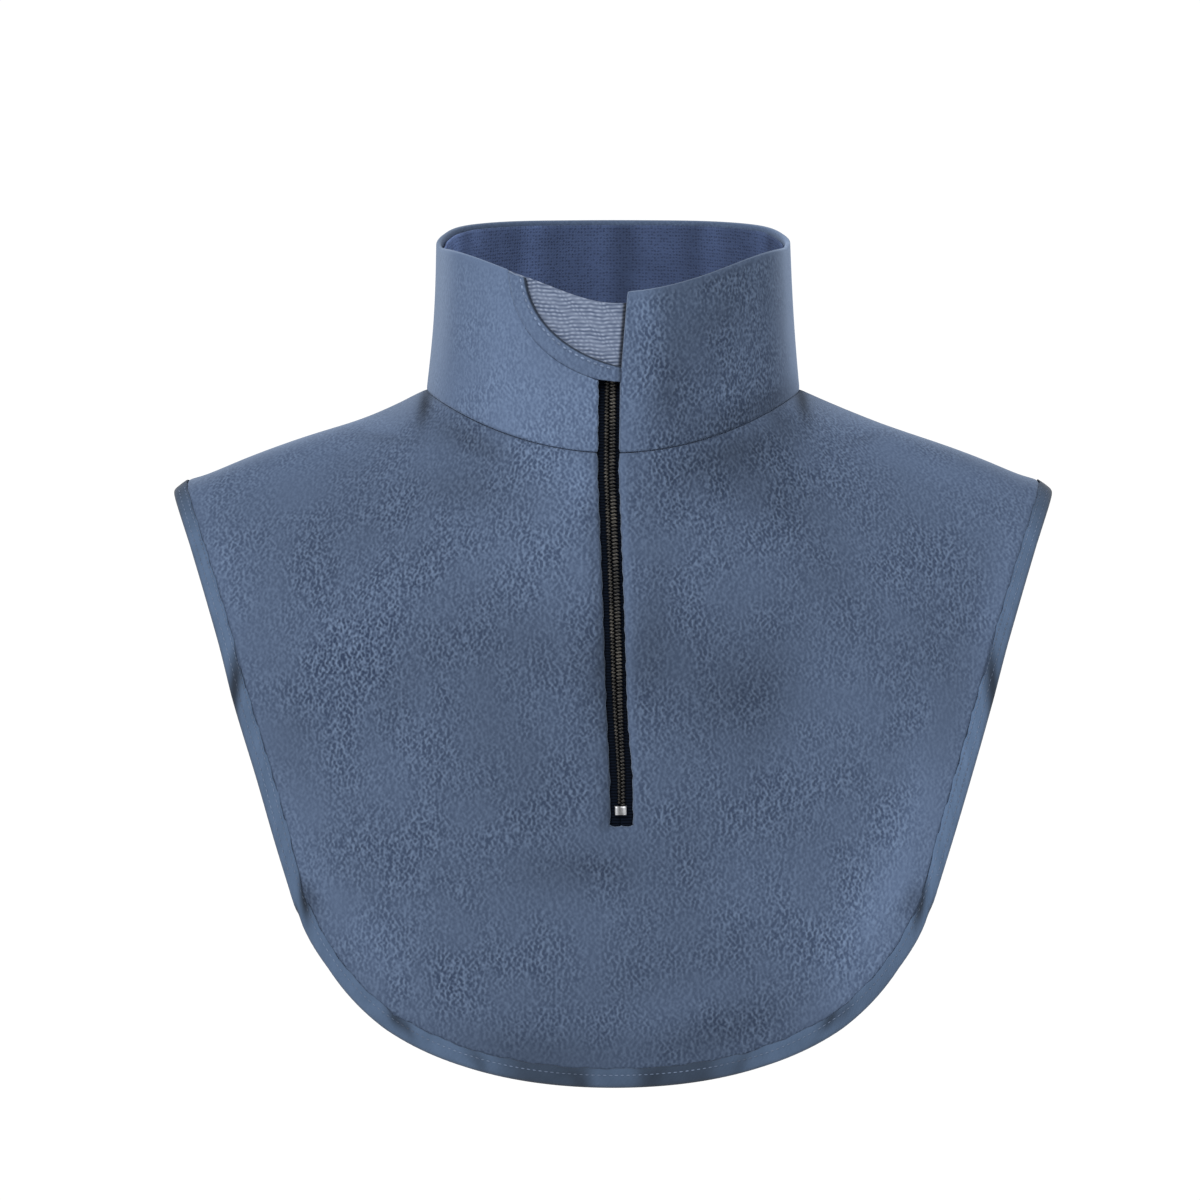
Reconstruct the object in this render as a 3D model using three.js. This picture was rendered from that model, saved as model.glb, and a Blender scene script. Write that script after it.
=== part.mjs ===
// Neck warmer of slate-blue fleece: a stand-up collar with a half zip, on a yoke that
// lies over the chest, the shoulders and the back. Shown empty, in the form it has when worn.
// Millimetres. +X is to the right in the front view, -Y is the front and +Z is up.
// The origin is the middle of the neck, level with the collar seam at the sides.
import * as THREE from 'three';

// Collar: half widths and depths of the neck opening, and heights along its two edges
const SEAM_HALF_WIDTH = 88;
const SEAM_FRONT = 82;
const SEAM_BACK = 76;
const SEAM_SIDE_HEIGHT = 2;
const SEAM_FRONT_DROP = 25;
const SEAM_BACK_RISE = 8;
const RIM_HALF_WIDTH = 83.3;
const RIM_FRONT = 80;
const RIM_BACK = 72;
const RIM_SIDE_HEIGHT = 73;
const RIM_FRONT_DROP = 21.5;
const RIM_BACK_RISE = 9.6;

// Yoke: the tips of the shoulders, the armhole edges, which curve in a little, and the round hem
const TIP = new THREE.Vector2(209.5, -46.5);
const ARMHOLE_HANDLES = [new THREE.Vector2(184.6, -105), new THREE.Vector2(170.5, -167)];
const CORNER = new THREE.Vector2(151, -227);
const CORNER_HANDLE = new THREE.Vector2(-11, -31.5);
const HEM_HANDLE = 115;
const FRONT_LENGTH = 314;
const BACK_LENGTH = 298;
const CHEST_DEPTH = 118;
const BACK_DEPTH = 108;

// Fall of the yoke, in degrees below level, where it leaves the seam and where it ends, on
// the shoulder line and in the middle of chest and back. The bends say how fast it changes
const SEAM_FALL = { shoulder: 24, chest: 77, bend: 0.9 };
const END_FALL = { shoulder: 25, chest: 90, bend: 2.6 };
const SEAM_HANDLE = { shoulder: 42, chest: 88 };
const EDGE_HANDLE = { shoulder: 44, chest: 96 };

// Cloth thicknesses, and the gap that sewn pieces keep
const FLEECE = 2.4;
const KNIT = 1.0;
const TAPE = 0.6;
const BINDING = 0.8;
const GAP = 0.3;
// Looser behind curved cloth, whose flat faces cut their corners
const LAYER_GAP = 0.55;

// Zip: its centre line from top to bottom, and its parts
const ZIP_LINE = [
  { z: 40, x: -1.5 },
  { z: 2, x: -2.1 },
  { z: -32, x: -2.4 },
  { z: -90, x: -0.1 },
  { z: -138, x: 1.4 },
  { z: -170, x: 3.1 },
  { z: -194, x: 3.4 },
];
const ZIP_TOP = 28;
const SLIT_BOTTOM = -194;
const TAPE_BOTTOM = -201.5;
const SLIT_HALF_WIDTH = 5.2;
const TAPE_WIDTH = 13.5;
const TEETH_TOP = 15.5;
const TEETH_PITCH = 2.5;
const TEETH_HEIGHT = 1.8;
const TEETH_OUTER = 2.9;
const TEETH_CREST = 0.55;
const TEETH_ROOT = 1.25;
const TAPE_PARTING = 0.4;
const STOP = { width: 5.2, length: 4.6, height: 2.2, middle: -186 };
const SLIDER = { width: 7.5, length: 8.5, height: 3.2 };
// The zip dives behind the flap between these heights, by this depth
const DIVE = { start: -6, end: 18, depth: 5.2 };
// It rounds the angle at the seam over this height above and below
const SEAM_ROUND = 5;

// Cut-away corner of the collar: its curve, and the outer line of its hem
const CUT_CURVE = new THREE.CubicBezierCurve(
  new THREE.Vector2(-41, 61.5),
  new THREE.Vector2(-40.5, 41),
  new THREE.Vector2(-25, 24),
  new THREE.Vector2(3.2, 17),
);
const HEM_CURVE = new THREE.CubicBezierCurve(
  new THREE.Vector2(-48.5, 62),
  new THREE.Vector2(-47.5, 36),
  new THREE.Vector2(-32, 18),
  new THREE.Vector2(-7.4, 10.8),
);
// The straight edge of the collar on the other side, from the seam up to the rim
const RIGHT_EDGE = [
  { z: -30, x: 2.9 },
  { z: 9, x: 3.5 },
  { z: 52, x: 7.0 },
];

// Knitted pieces behind the collar: sides by x, and edges by height or share of the collar
const GUARD = { left: -52, right: 13, bottom: 13, topLeft: 0.985, topRight: 0.925 };
const LINING = { left: -52.6, right: 16.5, bottom: 0.07, top: 0.965 };
const FLAP_FOOT = 9.6;

// Binding: how far it reaches onto the cloth at the armholes and at the bottom of the hem,
// where it starts to widen, and the rounding of its fold
const BINDING_SIDE = 7.6;
const BINDING_BOTTOM = 9.4;
const BINDING_WIDENS = 0.6;
const BINDING_ROUND = { flat: 1.2, turned: 0.3 };

// Soft folds of the front: middle, direction from the X axis in degrees, size and height
const FRONT_FOLDS = [
  { x: -120, z: -106, angle: 32, length: 80, width: 19, height: 2.6 },
  { x: -112, z: -150, angle: 30, length: 60, width: 20, height: -2.0 },
  { x: -26, z: -62, angle: 68, length: 42, width: 13, height: 1.3 },
  { x: 62, z: -44, angle: -12, length: 42, width: 16, height: -1.8 },
  { x: 52, z: -128, angle: 38, length: 60, width: 24, height: -2.0 },
  { x: 118, z: -96, angle: -48, length: 62, width: 20, height: 1.8 },
  { x: 0, z: -214, angle: 0, length: 26, width: 7, height: -1.2 },
  { x: -82, z: -226, angle: -48, length: 60, width: 22, height: 1.6 },
  { x: 86, z: -236, angle: 46, length: 62, width: 22, height: 1.8 },
  { x: -30, z: -280, angle: -14, length: 40, width: 16, height: -1.4 },
  { x: 46, z: -276, angle: 16, length: 36, width: 16, height: -1.4 },
  { x: 118, z: -22, angle: 16, length: 26, width: 6, height: 0.6 },
  { x: -199, z: -44, angle: 25, length: 16, width: 12, height: 1.3 },
  { x: 199, z: -44, angle: -25, length: 16, width: 12, height: 1.3 },
];
const BACK_FOLDS = [
  { x: -70, z: -120, angle: 62, length: 90, width: 24, height: 2.4 },
  { x: 74, z: -130, angle: -60, length: 90, width: 24, height: 2.4 },
  { x: 0, z: -190, angle: 90, length: 80, width: 26, height: -2.0 },
  { x: -199, z: -44, angle: 25, length: 16, width: 12, height: 1.3 },
  { x: 199, z: -44, angle: -25, length: 16, width: 12, height: 1.3 },
];
// Share of a line of the yoke over which the folds grow from the seam
const FOLD_FADE = 0.12;

const FINISHES = {
  fleece: { color: 0x52637f, roughness: 0.95, metalness: 0 },
  binding: { color: 0x4a5c78, roughness: 0.9, metalness: 0 },
  guard: { color: 0x7a879d, roughness: 0.9, metalness: 0 },
  lining: { color: 0x3b4661, roughness: 0.9, metalness: 0 },
  tape: { color: 0x1d2025, roughness: 0.8, metalness: 0 },
  teeth: { color: 0x3a3630, roughness: 0.5, metalness: 0 },
  metal: { color: 0x9a9da3, roughness: 0.35, metalness: 1 },
};

const { mapLinear, smoothstep, clamp, degToRad, lerp } = THREE.MathUtils;
const FRONT_EDGE = yokeEdge(FRONT_LENGTH, -CHEST_DEPTH);
const BACK_EDGE = yokeEdge(BACK_LENGTH, BACK_DEPTH);

// Straight from a table of points, at height z
function along(table, z) {
  let k = 1;
  while (k < table.length - 1 && (table[k].z - z) * (table[1].z - table[0].z) < 0) k += 1;
  return mapLinear(z, table[k - 1].z, table[k].z, table[k - 1].x, table[k].x);
}

// Half of the yoke's outer edge, from the middle of the hem to the tip of the shoulder: its
// outline seen from the front, laid on a trunk of oval plan. Its points are closest at the
// tip, where the oval turns fastest
function yokeEdge(length, depth) {
  const outline = new THREE.CurvePath();
  outline.add(new THREE.CubicBezierCurve(
    new THREE.Vector2(0, -length),
    new THREE.Vector2(HEM_HANDLE, -length),
    CORNER.clone().add(CORNER_HANDLE),
    CORNER,
  ));
  const [upper, lower] = ARMHOLE_HANDLES;
  outline.add(new THREE.CubicBezierCurve(CORNER, lower, upper, TIP));
  const steps = 60;
  const points = Array.from({ length: steps + 1 }, (_, k) => {
    const flat = outline.getPoint(1 - (1 - k / steps) ** 2);
    const oval = Math.sqrt(Math.max(0, 1 - (flat.x / TIP.x) ** 2));
    return new THREE.Vector3(flat.x, depth * oval, flat.y);
  });
  return new THREE.CatmullRomCurve3(points);
}

// A loop round the neck. turn runs from -1 to 1: 0 is the middle of the front, 0.5 the side
function seam(turn) {
  const across = Math.sin(Math.PI * turn);
  const forward = Math.cos(Math.PI * turn);
  const front = forward > 0;
  return new THREE.Vector3(
    SEAM_HALF_WIDTH * across,
    -(front ? SEAM_FRONT : SEAM_BACK) * forward,
    SEAM_SIDE_HEIGHT + (front ? -SEAM_FRONT_DROP : SEAM_BACK_RISE) * forward ** 2,
  );
}

// The collar's upper edge, low in front and high behind
function rim(turn) {
  const across = Math.sin(Math.PI * turn);
  const forward = Math.cos(Math.PI * turn);
  const drop = forward > 0
    ? -RIM_FRONT_DROP * forward ** 3
    : RIM_BACK_RISE * (1 - (1 + forward) ** 2);
  return new THREE.Vector3(
    RIM_HALF_WIDTH * across,
    -(forward > 0 ? RIM_FRONT : RIM_BACK) * forward,
    RIM_SIDE_HEIGHT + drop,
  );
}

// The yoke's outer edge at a turn, by equal steps of its length
function edge(turn) {
  const side = turn > 1 ? turn - 2 : turn;
  const front = Math.abs(side) <= 0.5;
  const share = 2 * (front ? Math.abs(side) : 1 - Math.abs(side));
  const point = (front ? FRONT_EDGE : BACK_EDGE).getPointAt(share);
  return point.setX(Math.sign(side) * point.x);
}

// How far a turn is from the shoulder line: 0 on it, 1 in the middle of front and back
function offShoulder(turn) {
  return Math.abs(Math.cos(Math.PI * turn));
}

// Angle below level of the yoke at the seam
function seamFall(turn) {
  const middle = offShoulder(turn);
  return degToRad(lerp(SEAM_FALL.shoulder, SEAM_FALL.chest, middle ** SEAM_FALL.bend));
}

// Angle below level of the yoke at its outer edge
function endFall(turn) {
  const middle = 1 - (1 - offShoulder(turn)) ** END_FALL.bend;
  return degToRad(lerp(END_FALL.shoulder, END_FALL.chest, middle));
}

// A line of the yoke from the seam to the edge: a cubic curve that leaves the seam
// outwards, rounds the shoulder or the chest, and comes down to the edge
function yokeLine(turn, share) {
  const start = seam(turn);
  const end = edge(turn);
  const middle = offShoulder(turn);
  const out = new THREE.Vector3(start.x / SEAM_HALF_WIDTH, start.y / SEAM_FRONT, 0).normalize();
  const falling = (fall) => out.clone().multiplyScalar(Math.cos(fall)).setZ(-Math.sin(fall));
  const reach = lerp(SEAM_HANDLE.shoulder, SEAM_HANDLE.chest, middle);
  const back = lerp(EDGE_HANDLE.shoulder, EDGE_HANDLE.chest, middle);
  const curve = new THREE.CubicBezierCurve3(
    start,
    start.clone().addScaledVector(falling(seamFall(turn)), reach),
    end.clone().addScaledVector(falling(endFall(turn)), -back),
    end,
  );
  return curve.getPoint(share);
}

// The whole cloth as one surface. run is 1 at the rim, 0 at the seam and -1 at the hem
function cloth(turn, run) {
  if (run < 0) return yokeLine(turn, -run);
  return seam(turn).lerp(rim(turn), run);
}

// Outward direction of the cloth, from its slopes above or below the seam
function outward(turn, run, above = run > 0) {
  const step = 0.004;
  const low = above ? Math.max(run - step, 0) : run - step;
  const high = above ? run + step : Math.min(run + step, 0);
  const acrossWay = cloth(turn + step, run).sub(cloth(turn - step, run));
  const upWay = cloth(turn, high).sub(cloth(turn, low));
  return acrossWay.cross(upWay).normalize();
}

// Height of a table of folds at a place: each is a long soft bump
function foldHeight(point) {
  const folds = point.y < 0 ? FRONT_FOLDS : BACK_FOLDS;
  return folds.reduce((sum, fold) => {
    const angle = degToRad(fold.angle);
    const dx = point.x - fold.x;
    const dz = point.z - fold.z;
    const lengthwise = (dx * Math.cos(angle) + dz * Math.sin(angle)) / fold.length;
    const crosswise = (dz * Math.cos(angle) - dx * Math.sin(angle)) / fold.width;
    return sum + fold.height * Math.exp(-(lengthwise ** 2) - crosswise ** 2);
  }, 0);
}

// Folds fade out at the seam and stay off the collar
function foldAt(run, point) {
  return run < 0 ? foldHeight(point) * smoothstep(-run, 0, FOLD_FADE) : 0;
}

// A point of the garment, lift outside the middle of its cloth
function onCloth(turn, run, lift) {
  const point = cloth(turn, run);
  return point.addScaledVector(outward(turn, run), lift + foldAt(run, point));
}

// The turn and run of the front's point that is seen at x and z
function find(x, z) {
  const step = 0.001;
  const rounds = 12;
  const stride = 0.1;
  let turn = 0;
  let run = z > seam(0).z ? 0.5 : -0.5;
  for (let round = 0; round < rounds; round += 1) {
    const here = cloth(turn, run);
    const aside = cloth(turn + step, run);
    const higher = cloth(turn, run + step);
    run += clamp((z - here.z) * step / (higher.z - here.z), -2 * stride, 2 * stride);
    turn += clamp((x - here.x) * step / (aside.x - here.x), -stride, stride);
  }
  return [turn, run];
}

// A closed solid from a grid. place(column, row) gives its outer and inner point, and
// keep(column, row) says which cells are cloth, so that slits and notches stay open
function slab(columns, rows, place, keep = () => true) {
  const points = [];
  const faces = [];
  for (let row = 0; row <= rows; row += 1) {
    for (let column = 0; column <= columns; column += 1) {
      const [outer, inner] = place(column, row);
      points.push([...outer], [...inner]);
    }
  }
  const corner = ([column, row], layer) => (row * (columns + 1) + column) * 2 + layer;
  const has = (column, row) => column >= 0 && row >= 0 && column < columns && row < rows
    && keep(column, row);
  const quad = (a, b, c, d) => faces.push(a, b, c, a, c, d);
  const wall = (a, b) => quad(corner(a, 0), corner(a, 1), corner(b, 1), corner(b, 0));
  for (let row = 0; row < rows; row += 1) {
    for (let column = 0; column < columns; column += 1) {
      if (!has(column, row)) continue;
      const ring = [[column, row], [column + 1, row], [column + 1, row + 1], [column, row + 1]];
      quad(...ring.map((spot) => corner(spot, 0)));
      quad(...ring.map((spot) => corner(spot, 1)).reverse());
      if (!has(column, row - 1)) wall(ring[0], ring[1]);
      if (!has(column + 1, row)) wall(ring[1], ring[2]);
      if (!has(column, row + 1)) wall(ring[2], ring[3]);
      if (!has(column - 1, row)) wall(ring[3], ring[0]);
    }
  }
  return shell(points, faces);
}

// A closed solid through a row of like sections, each a ring of points
function loft(sections, outline) {
  const size = sections[0].length;
  const faces = [];
  for (let k = 0; k < sections.length - 1; k += 1) {
    for (let side = 0; side < size; side += 1) {
      const next = (side + 1) % size;
      const [a, b] = [k * size + side, k * size + next];
      faces.push(a, b, b + size, a, b + size, a + size);
    }
  }
  const flat = outline.map(([x, y]) => new THREE.Vector2(x, y));
  const last = (sections.length - 1) * size;
  THREE.ShapeUtils.triangulateShape(flat, []).forEach(([a, b, c]) => {
    faces.push(a, c, b, last + a, last + b, last + c);
  });
  return shell(sections.flat().map((point) => [...point]), faces);
}

// The points that the faces use, and the faces, as one geometry
function shell(points, faces) {
  const order = [...new Set(faces)];
  const place = new Map(order.map((old, now) => [old, now]));
  const geometry = new THREE.BufferGeometry();
  const kept = order.flatMap((old) => points[old]);
  geometry.setAttribute('position', new THREE.Float32BufferAttribute(kept, 3));
  geometry.setIndex(faces.map((old) => place.get(old)));
  geometry.computeVertexNormals();
  return geometry;
}

// Front and back pieces stop just short of each other on the shoulder line
function parted(point, front) {
  const limit = GAP / 2;
  return point.setY(front ? Math.min(point.y, -limit) : Math.max(point.y, limit));
}

// A solid of cloth between two lifts. spot(column, row) gives its turn and run
function clothSolid(columns, rows, spot, low, high, keep, trim = (point) => point) {
  const place = (column, row) => {
    const [turn, run] = spot(column, row);
    return [trim(onCloth(turn, run, high)), trim(onCloth(turn, run, low))];
  };
  return slab(columns, rows, place, keep);
}

// The front's turn at a distance x from its middle plane
function turnAt(x, run) {
  const step = 0.002;
  const rounds = 4;
  let turn = 0;
  for (let round = 0; round < rounds; round += 1) {
    const here = cloth(turn, run).x;
    turn += (x - here) * step / (cloth(turn + step, run).x - here);
  }
  return turn;
}

// The run at height z on the middle line of the front
function runAt(z) {
  return find(0, z)[1];
}

// The zip is as straight as the cloth beside it between these stations
const SLIT_ROWS = 10;
const SLIT_RUNS = Array.from(
  { length: SLIT_ROWS + 1 },
  (_, k) => runAt(SLIT_BOTTOM) * k / SLIT_ROWS,
);
const COLLAR_STATIONS = [ZIP_TOP + 1, DIVE.end, FLAP_FOOT, -2, -12];
const STATIONS = [...COLLAR_STATIONS.map(runAt), ...SLIT_RUNS, runAt(TAPE_BOTTOM - 1)]
  .map((run) => ({ run, z: cloth(0, run).z }));

// A point of the zip at one station. Its outward direction is blended where it crosses
// the seam, and it dives behind the flap
function atStation({ run, z }, x, lift) {
  const turn = turnAt(x, run);
  const above = outward(turn, Math.max(run, 0), true);
  const below = outward(turn, Math.min(run, 0), false);
  const middle = seam(0).z;
  const blend = below.lerp(above, smoothstep(z, middle - SEAM_ROUND, middle + SEAM_ROUND));
  const dive = DIVE.depth * smoothstep(z, DIVE.start, DIVE.end);
  const point = cloth(turn, run);
  return point.addScaledVector(blend.normalize(), lift - dive + foldAt(run, point));
}

// A point of the zip at height z and at a distance from its centre line
function onZip(offset, z, lift) {
  const x = along(ZIP_LINE, z) + offset;
  const k = STATIONS.findIndex((station) => station.z <= z);
  const [upper, lower] = [STATIONS[k - 1], STATIONS[k]];
  const share = (z - lower.z) / (upper.z - lower.z);
  return atStation(lower, x, lift).lerp(atStation(upper, x, lift), share);
}

// The tapes' outer face lies behind the cloth, and the teeth lie on it
const TAPE_FACE = -FLEECE / 2 - LAYER_GAP;
const TEETH_FOOT = TAPE_FACE + GAP;

// A solid on the zip between two lifts. heights are its rows, and sides(row) gives the
// distances of its left and right edges from the centre line
function zipSolid(heights, sides, low, high, columns = 1) {
  const place = (column, row) => {
    const [left, right] = sides(row);
    const offset = lerp(left, right, column / columns);
    return [onZip(offset, heights[row], high), onZip(offset, heights[row], low)];
  };
  return slab(columns, heights.length - 1, place);
}

// How far the collar stands off the seam, clear of the yoke's edge below it
function seamRise(turn) {
  return GAP + FLEECE / 2 * Math.cos(seamFall(turn));
}

// The collar's edges: turn and run at each row. On the viewer's left the edge follows the
// zip and then the hem's curve up to the rim, and on the right it is straight
const HEM_STEPS = 7;
const HEM_SPOTS = HEM_CURVE.getSpacedPoints(HEM_STEPS).reverse().map((p) => find(p.x, p.y));
HEM_SPOTS[HEM_STEPS][1] = 1;
const FOOT_ROWS = 2;
const FOOT_RUN = HEM_SPOTS[0][1];

function collar() {
  const columns = 52;
  const rows = FOOT_ROWS + HEM_STEPS;
  const spot = (column, row) => {
    const foot = row < FOOT_ROWS;
    const run = foot ? FOOT_RUN * row / FOOT_ROWS : HEM_SPOTS[row - FOOT_ROWS][1];
    const z = cloth(0, run).z;
    const gap = GAP / SEAM_HALF_WIDTH / Math.PI;
    const slit = turnAt(along(ZIP_LINE, z) - SLIT_HALF_WIDTH, run);
    const left = foot ? slit : HEM_SPOTS[row - FOOT_ROWS][0] - gap;
    const right = turnAt(along(RIGHT_EDGE, z), run);
    const turn = lerp(right, 2 + left, column / columns);
    const rise = seamRise(turn) / seam(turn).distanceTo(rim(turn));
    return [turn, foot ? lerp(rise, FOOT_RUN, row / FOOT_ROWS) : run];
  };
  return clothSolid(columns, rows, spot, -FLEECE / 2, FLEECE / 2);
}

// The hem fills from the collar's curved edge to the cut-away, and closes over the zip
function flapHem() {
  const columns = HEM_STEPS + 1;
  const end = (z) => along(RIGHT_EDGE, z) - GAP;
  const outer = [...HEM_SPOTS].reverse();
  outer.push(find(end(FLAP_FOOT), FLAP_FOOT));
  const inner = CUT_CURVE.getSpacedPoints(columns).map((p) => find(p.x, p.y));
  inner[0][1] = 1;
  const spot = (column, row) => (row === 0 ? outer : inner)[column];
  return clothSolid(columns, 1, spot, -FLEECE / 2, FLEECE / 2);
}

// Run halfway up the collar, where the sides of the knitted pieces are measured
const COLLAR_MIDDLE = 0.5;

// The guard shows in the cut-away from behind, up to the rim, and slopes to the right
function chinGuard() {
  const columns = 14;
  const rows = 4;
  const slopeStart = 0.15;
  const slopeEnd = 0.85;
  const face = -FLEECE / 2 - LAYER_GAP;
  const spot = (column, row) => {
    const share = column / columns;
    const top = lerp(GUARD.topLeft, GUARD.topRight, smoothstep(share, slopeStart, slopeEnd));
    const run = lerp(runAt(GUARD.bottom), top, row / rows);
    return [turnAt(lerp(GUARD.left, GUARD.right, share), COLLAR_MIDDLE), run];
  };
  return clothSolid(columns, rows, spot, face - KNIT, face);
}

// The lining goes round behind, from the guard's one side to its other
function collarLining() {
  const columns = 48;
  const rows = 2;
  const face = -FLEECE / 2 - LAYER_GAP;
  const spot = (column, row) => {
    const right = turnAt(LINING.right, COLLAR_MIDDLE);
    const left = turnAt(LINING.left, COLLAR_MIDDLE);
    return [lerp(right, 2 + left, column / columns), lerp(LINING.bottom, LINING.top, row / rows)];
  };
  return clothSolid(columns, rows, spot, face - KNIT, face);
}

// Sine of the angle at which a line of the yoke meets the outer edge
function meeting(turn) {
  const step = 0.004;
  const edgeWay = edge(turn + step).sub(edge(turn - step)).normalize();
  const lineWay = cloth(turn, -1).sub(cloth(turn, -1 + step)).normalize();
  return edgeWay.cross(lineWay).length();
}

// Where a line of the yoke is a distance short of the outer edge, measured square to the edge.
// A cubic curve ends at three times the length of its handle
function shortOfEdge(turn, distance) {
  const reach = 3 * lerp(EDGE_HANDLE.shoulder, EDGE_HANDLE.chest, offShoulder(turn));
  return -(1 - distance / meeting(turn) / reach);
}

// How far the binding reaches onto the cloth
function bindingWidth(turn) {
  return lerp(BINDING_SIDE, BINDING_BOTTOM, smoothstep(offShoulder(turn), BINDING_WIDENS, 1));
}

// The run of a row: the lowest strip of cells is the one under the binding, and the others
// are even up to the last
function rowRun(turn, row, rows, last) {
  if (row === 0) return shortOfEdge(turn, BINDING + GAP);
  return lerp(shortOfEdge(turn, bindingWidth(turn)), last, (row - 1) / (rows - 1));
}

// The turns of the front's columns at a level: as many on each side of the slit, which is
// one column wide
const FRONT_HALF = 20;

function frontTurn(column, level) {
  const right = column > FRONT_HALF;
  const share = (right ? column - FRONT_HALF - 1 : FRONT_HALF - column) / FRONT_HALF;
  const side = right ? 1 : -1;
  const slit = along(ZIP_LINE, cloth(0, level).z) + side * SLIT_HALF_WIDTH;
  return lerp(turnAt(slit, level), side / 2, share);
}

function frontBib() {
  const lowerRows = 6;
  const rows = lowerRows + SLIT_ROWS;
  const spot = (column, row) => {
    if (row >= lowerRows) return [frontTurn(column, SLIT_RUNS[rows - row]), SLIT_RUNS[rows - row]];
    const turn = frontTurn(column, lerp(-1, SLIT_RUNS[SLIT_ROWS], row / lowerRows));
    return [turn, rowRun(turn, row, lowerRows, SLIT_RUNS[SLIT_ROWS])];
  };
  const keep = (column, row) => column !== FRONT_HALF || row < lowerRows;
  const trim = (point) => parted(point, true);
  return clothSolid(2 * FRONT_HALF + 1, rows, spot, -FLEECE / 2, FLEECE / 2, keep, trim);
}

const BACK_COLUMNS = 30;

function backTurn(column) {
  return lerp(0.5, 1.5, column / BACK_COLUMNS);
}

function backBib() {
  const rows = 11;
  const spot = (column, row) => {
    const turn = backTurn(column);
    return [turn, rowRun(turn, row, rows, 0)];
  };
  const trim = (point) => parted(point, false);
  return clothSolid(BACK_COLUMNS, rows, spot, -FLEECE / 2, FLEECE / 2, () => true, trim);
}

// The binding's section: a U over the cloth's edge. Each point is its distance from the
// outer end and its lift, for a tape that reaches a width onto the cloth
function bindingSection(width) {
  const inner = FLEECE / 2 + LAYER_GAP;
  const outer = inner + BINDING;
  const { flat, turned } = BINDING_ROUND;
  return [
    [width, outer], [flat, outer], [turned, inner], [0, 0], [turned, -inner], [flat, -outer],
    [width, -outer], [width, -inner], [BINDING, -inner], [BINDING, inner], [width, inner],
  ];
}

function binding(turns, front) {
  const sections = turns.map((turn) => bindingSection(bindingWidth(turn))
    .map(([distance, lift]) => onCloth(turn, shortOfEdge(turn, distance), lift))
    .map((point) => parted(point, front)));
  return loft(sections, bindingSection(BINDING_SIDE));
}

function frontBinding() {
  const turns = Array.from({ length: 2 * FRONT_HALF + 2 }, (_, k) => frontTurn(k, -1));
  return binding(turns, true);
}

function backBinding() {
  return binding(Array.from({ length: BACK_COLUMNS + 1 }, (_, k) => backTurn(k)), false);
}

// Rows of heights from the foot to the top, at the zip's own stations
function rowsBetween(bottom, top) {
  const between = STATIONS.map((station) => station.z).filter((z) => z > bottom && z < top);
  return [bottom, ...between.reverse(), top];
}

function zipTape(side) {
  const edges = [TAPE_PARTING, TAPE_WIDTH].map((x) => side * x).sort((a, b) => a - b);
  const heights = rowsBetween(TAPE_BOTTOM, ZIP_TOP);
  return zipSolid(heights, () => edges, TAPE_FACE - TAPE, TAPE_FACE, 2);
}

// A row of teeth with a zigzag inner edge, which fits into the other row's with a gap
function zipTeeth(side) {
  const bottom = STOP.middle + STOP.length / 2 + GAP;
  const count = Math.floor((TEETH_TOP - bottom) / TEETH_PITCH) * 2;
  const heights = Array.from({ length: count + 1 }, (_, k) => bottom + k * TEETH_PITCH / 2);
  const zigzag = (row) => {
    const reaches = (row % 2 === 0) === (side < 0);
    return side * (reaches ? -TEETH_CREST : TEETH_ROOT);
  };
  const sides = (row) => [side * TEETH_OUTER, zigzag(row)].sort((a, b) => a - b);
  return zipSolid(heights, sides, TEETH_FOOT, TEETH_FOOT + TEETH_HEIGHT);
}

function zipStop() {
  const heights = [STOP.middle - STOP.length / 2, STOP.middle + STOP.length / 2];
  const sides = () => [-STOP.width / 2, STOP.width / 2];
  return zipSolid(heights, sides, TEETH_FOOT, TEETH_FOOT + STOP.height);
}

function zipSlider() {
  const bottom = TEETH_TOP + GAP;
  const heights = [bottom, bottom + SLIDER.length];
  const sides = () => [-SLIDER.width / 2, SLIDER.width / 2];
  return zipSolid(heights, sides, TEETH_FOOT, TEETH_FOOT + SLIDER.height);
}

const garment = new THREE.Group();

function addPiece(name, geometry, finish) {
  const mesh = new THREE.Mesh(geometry, new THREE.MeshStandardMaterial(finish));
  mesh.name = name;
  garment.add(mesh);
}

addPiece('collar', collar(), FINISHES.fleece);
addPiece('flap_hem', flapHem(), FINISHES.binding);
addPiece('chin_guard', chinGuard(), FINISHES.guard);
addPiece('collar_lining', collarLining(), FINISHES.lining);
addPiece('front_bib', frontBib(), FINISHES.fleece);
addPiece('back_bib', backBib(), FINISHES.fleece);
addPiece('front_binding', frontBinding(), FINISHES.binding);
addPiece('back_binding', backBinding(), FINISHES.binding);
addPiece('zip_tape_left', zipTape(-1), FINISHES.tape);
addPiece('zip_tape_right', zipTape(1), FINISHES.tape);
addPiece('zip_teeth_left', zipTeeth(-1), FINISHES.teeth);
addPiece('zip_teeth_right', zipTeeth(1), FINISHES.teeth);
addPiece('zip_bottom_stop', zipStop(), FINISHES.metal);
addPiece('zip_slider', zipSlider(), FINISHES.metal);

export default garment;
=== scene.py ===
"""The looks of a fleece neck warmer: a stand-up zip collar on a bib for chest, shoulders and back.

Every piece is a surface over two numbers, as in the pattern of the garment. turn goes round the
neck: 0 is the middle of the front, 0.5 the wearer's left side, 1 the middle of the back. run goes
along the cloth: 1 at the collar's rim, 0 at the neck seam and -1 at the hem. Sizes are in
millimetres and become metres when a mesh is made.
"""
import math

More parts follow.
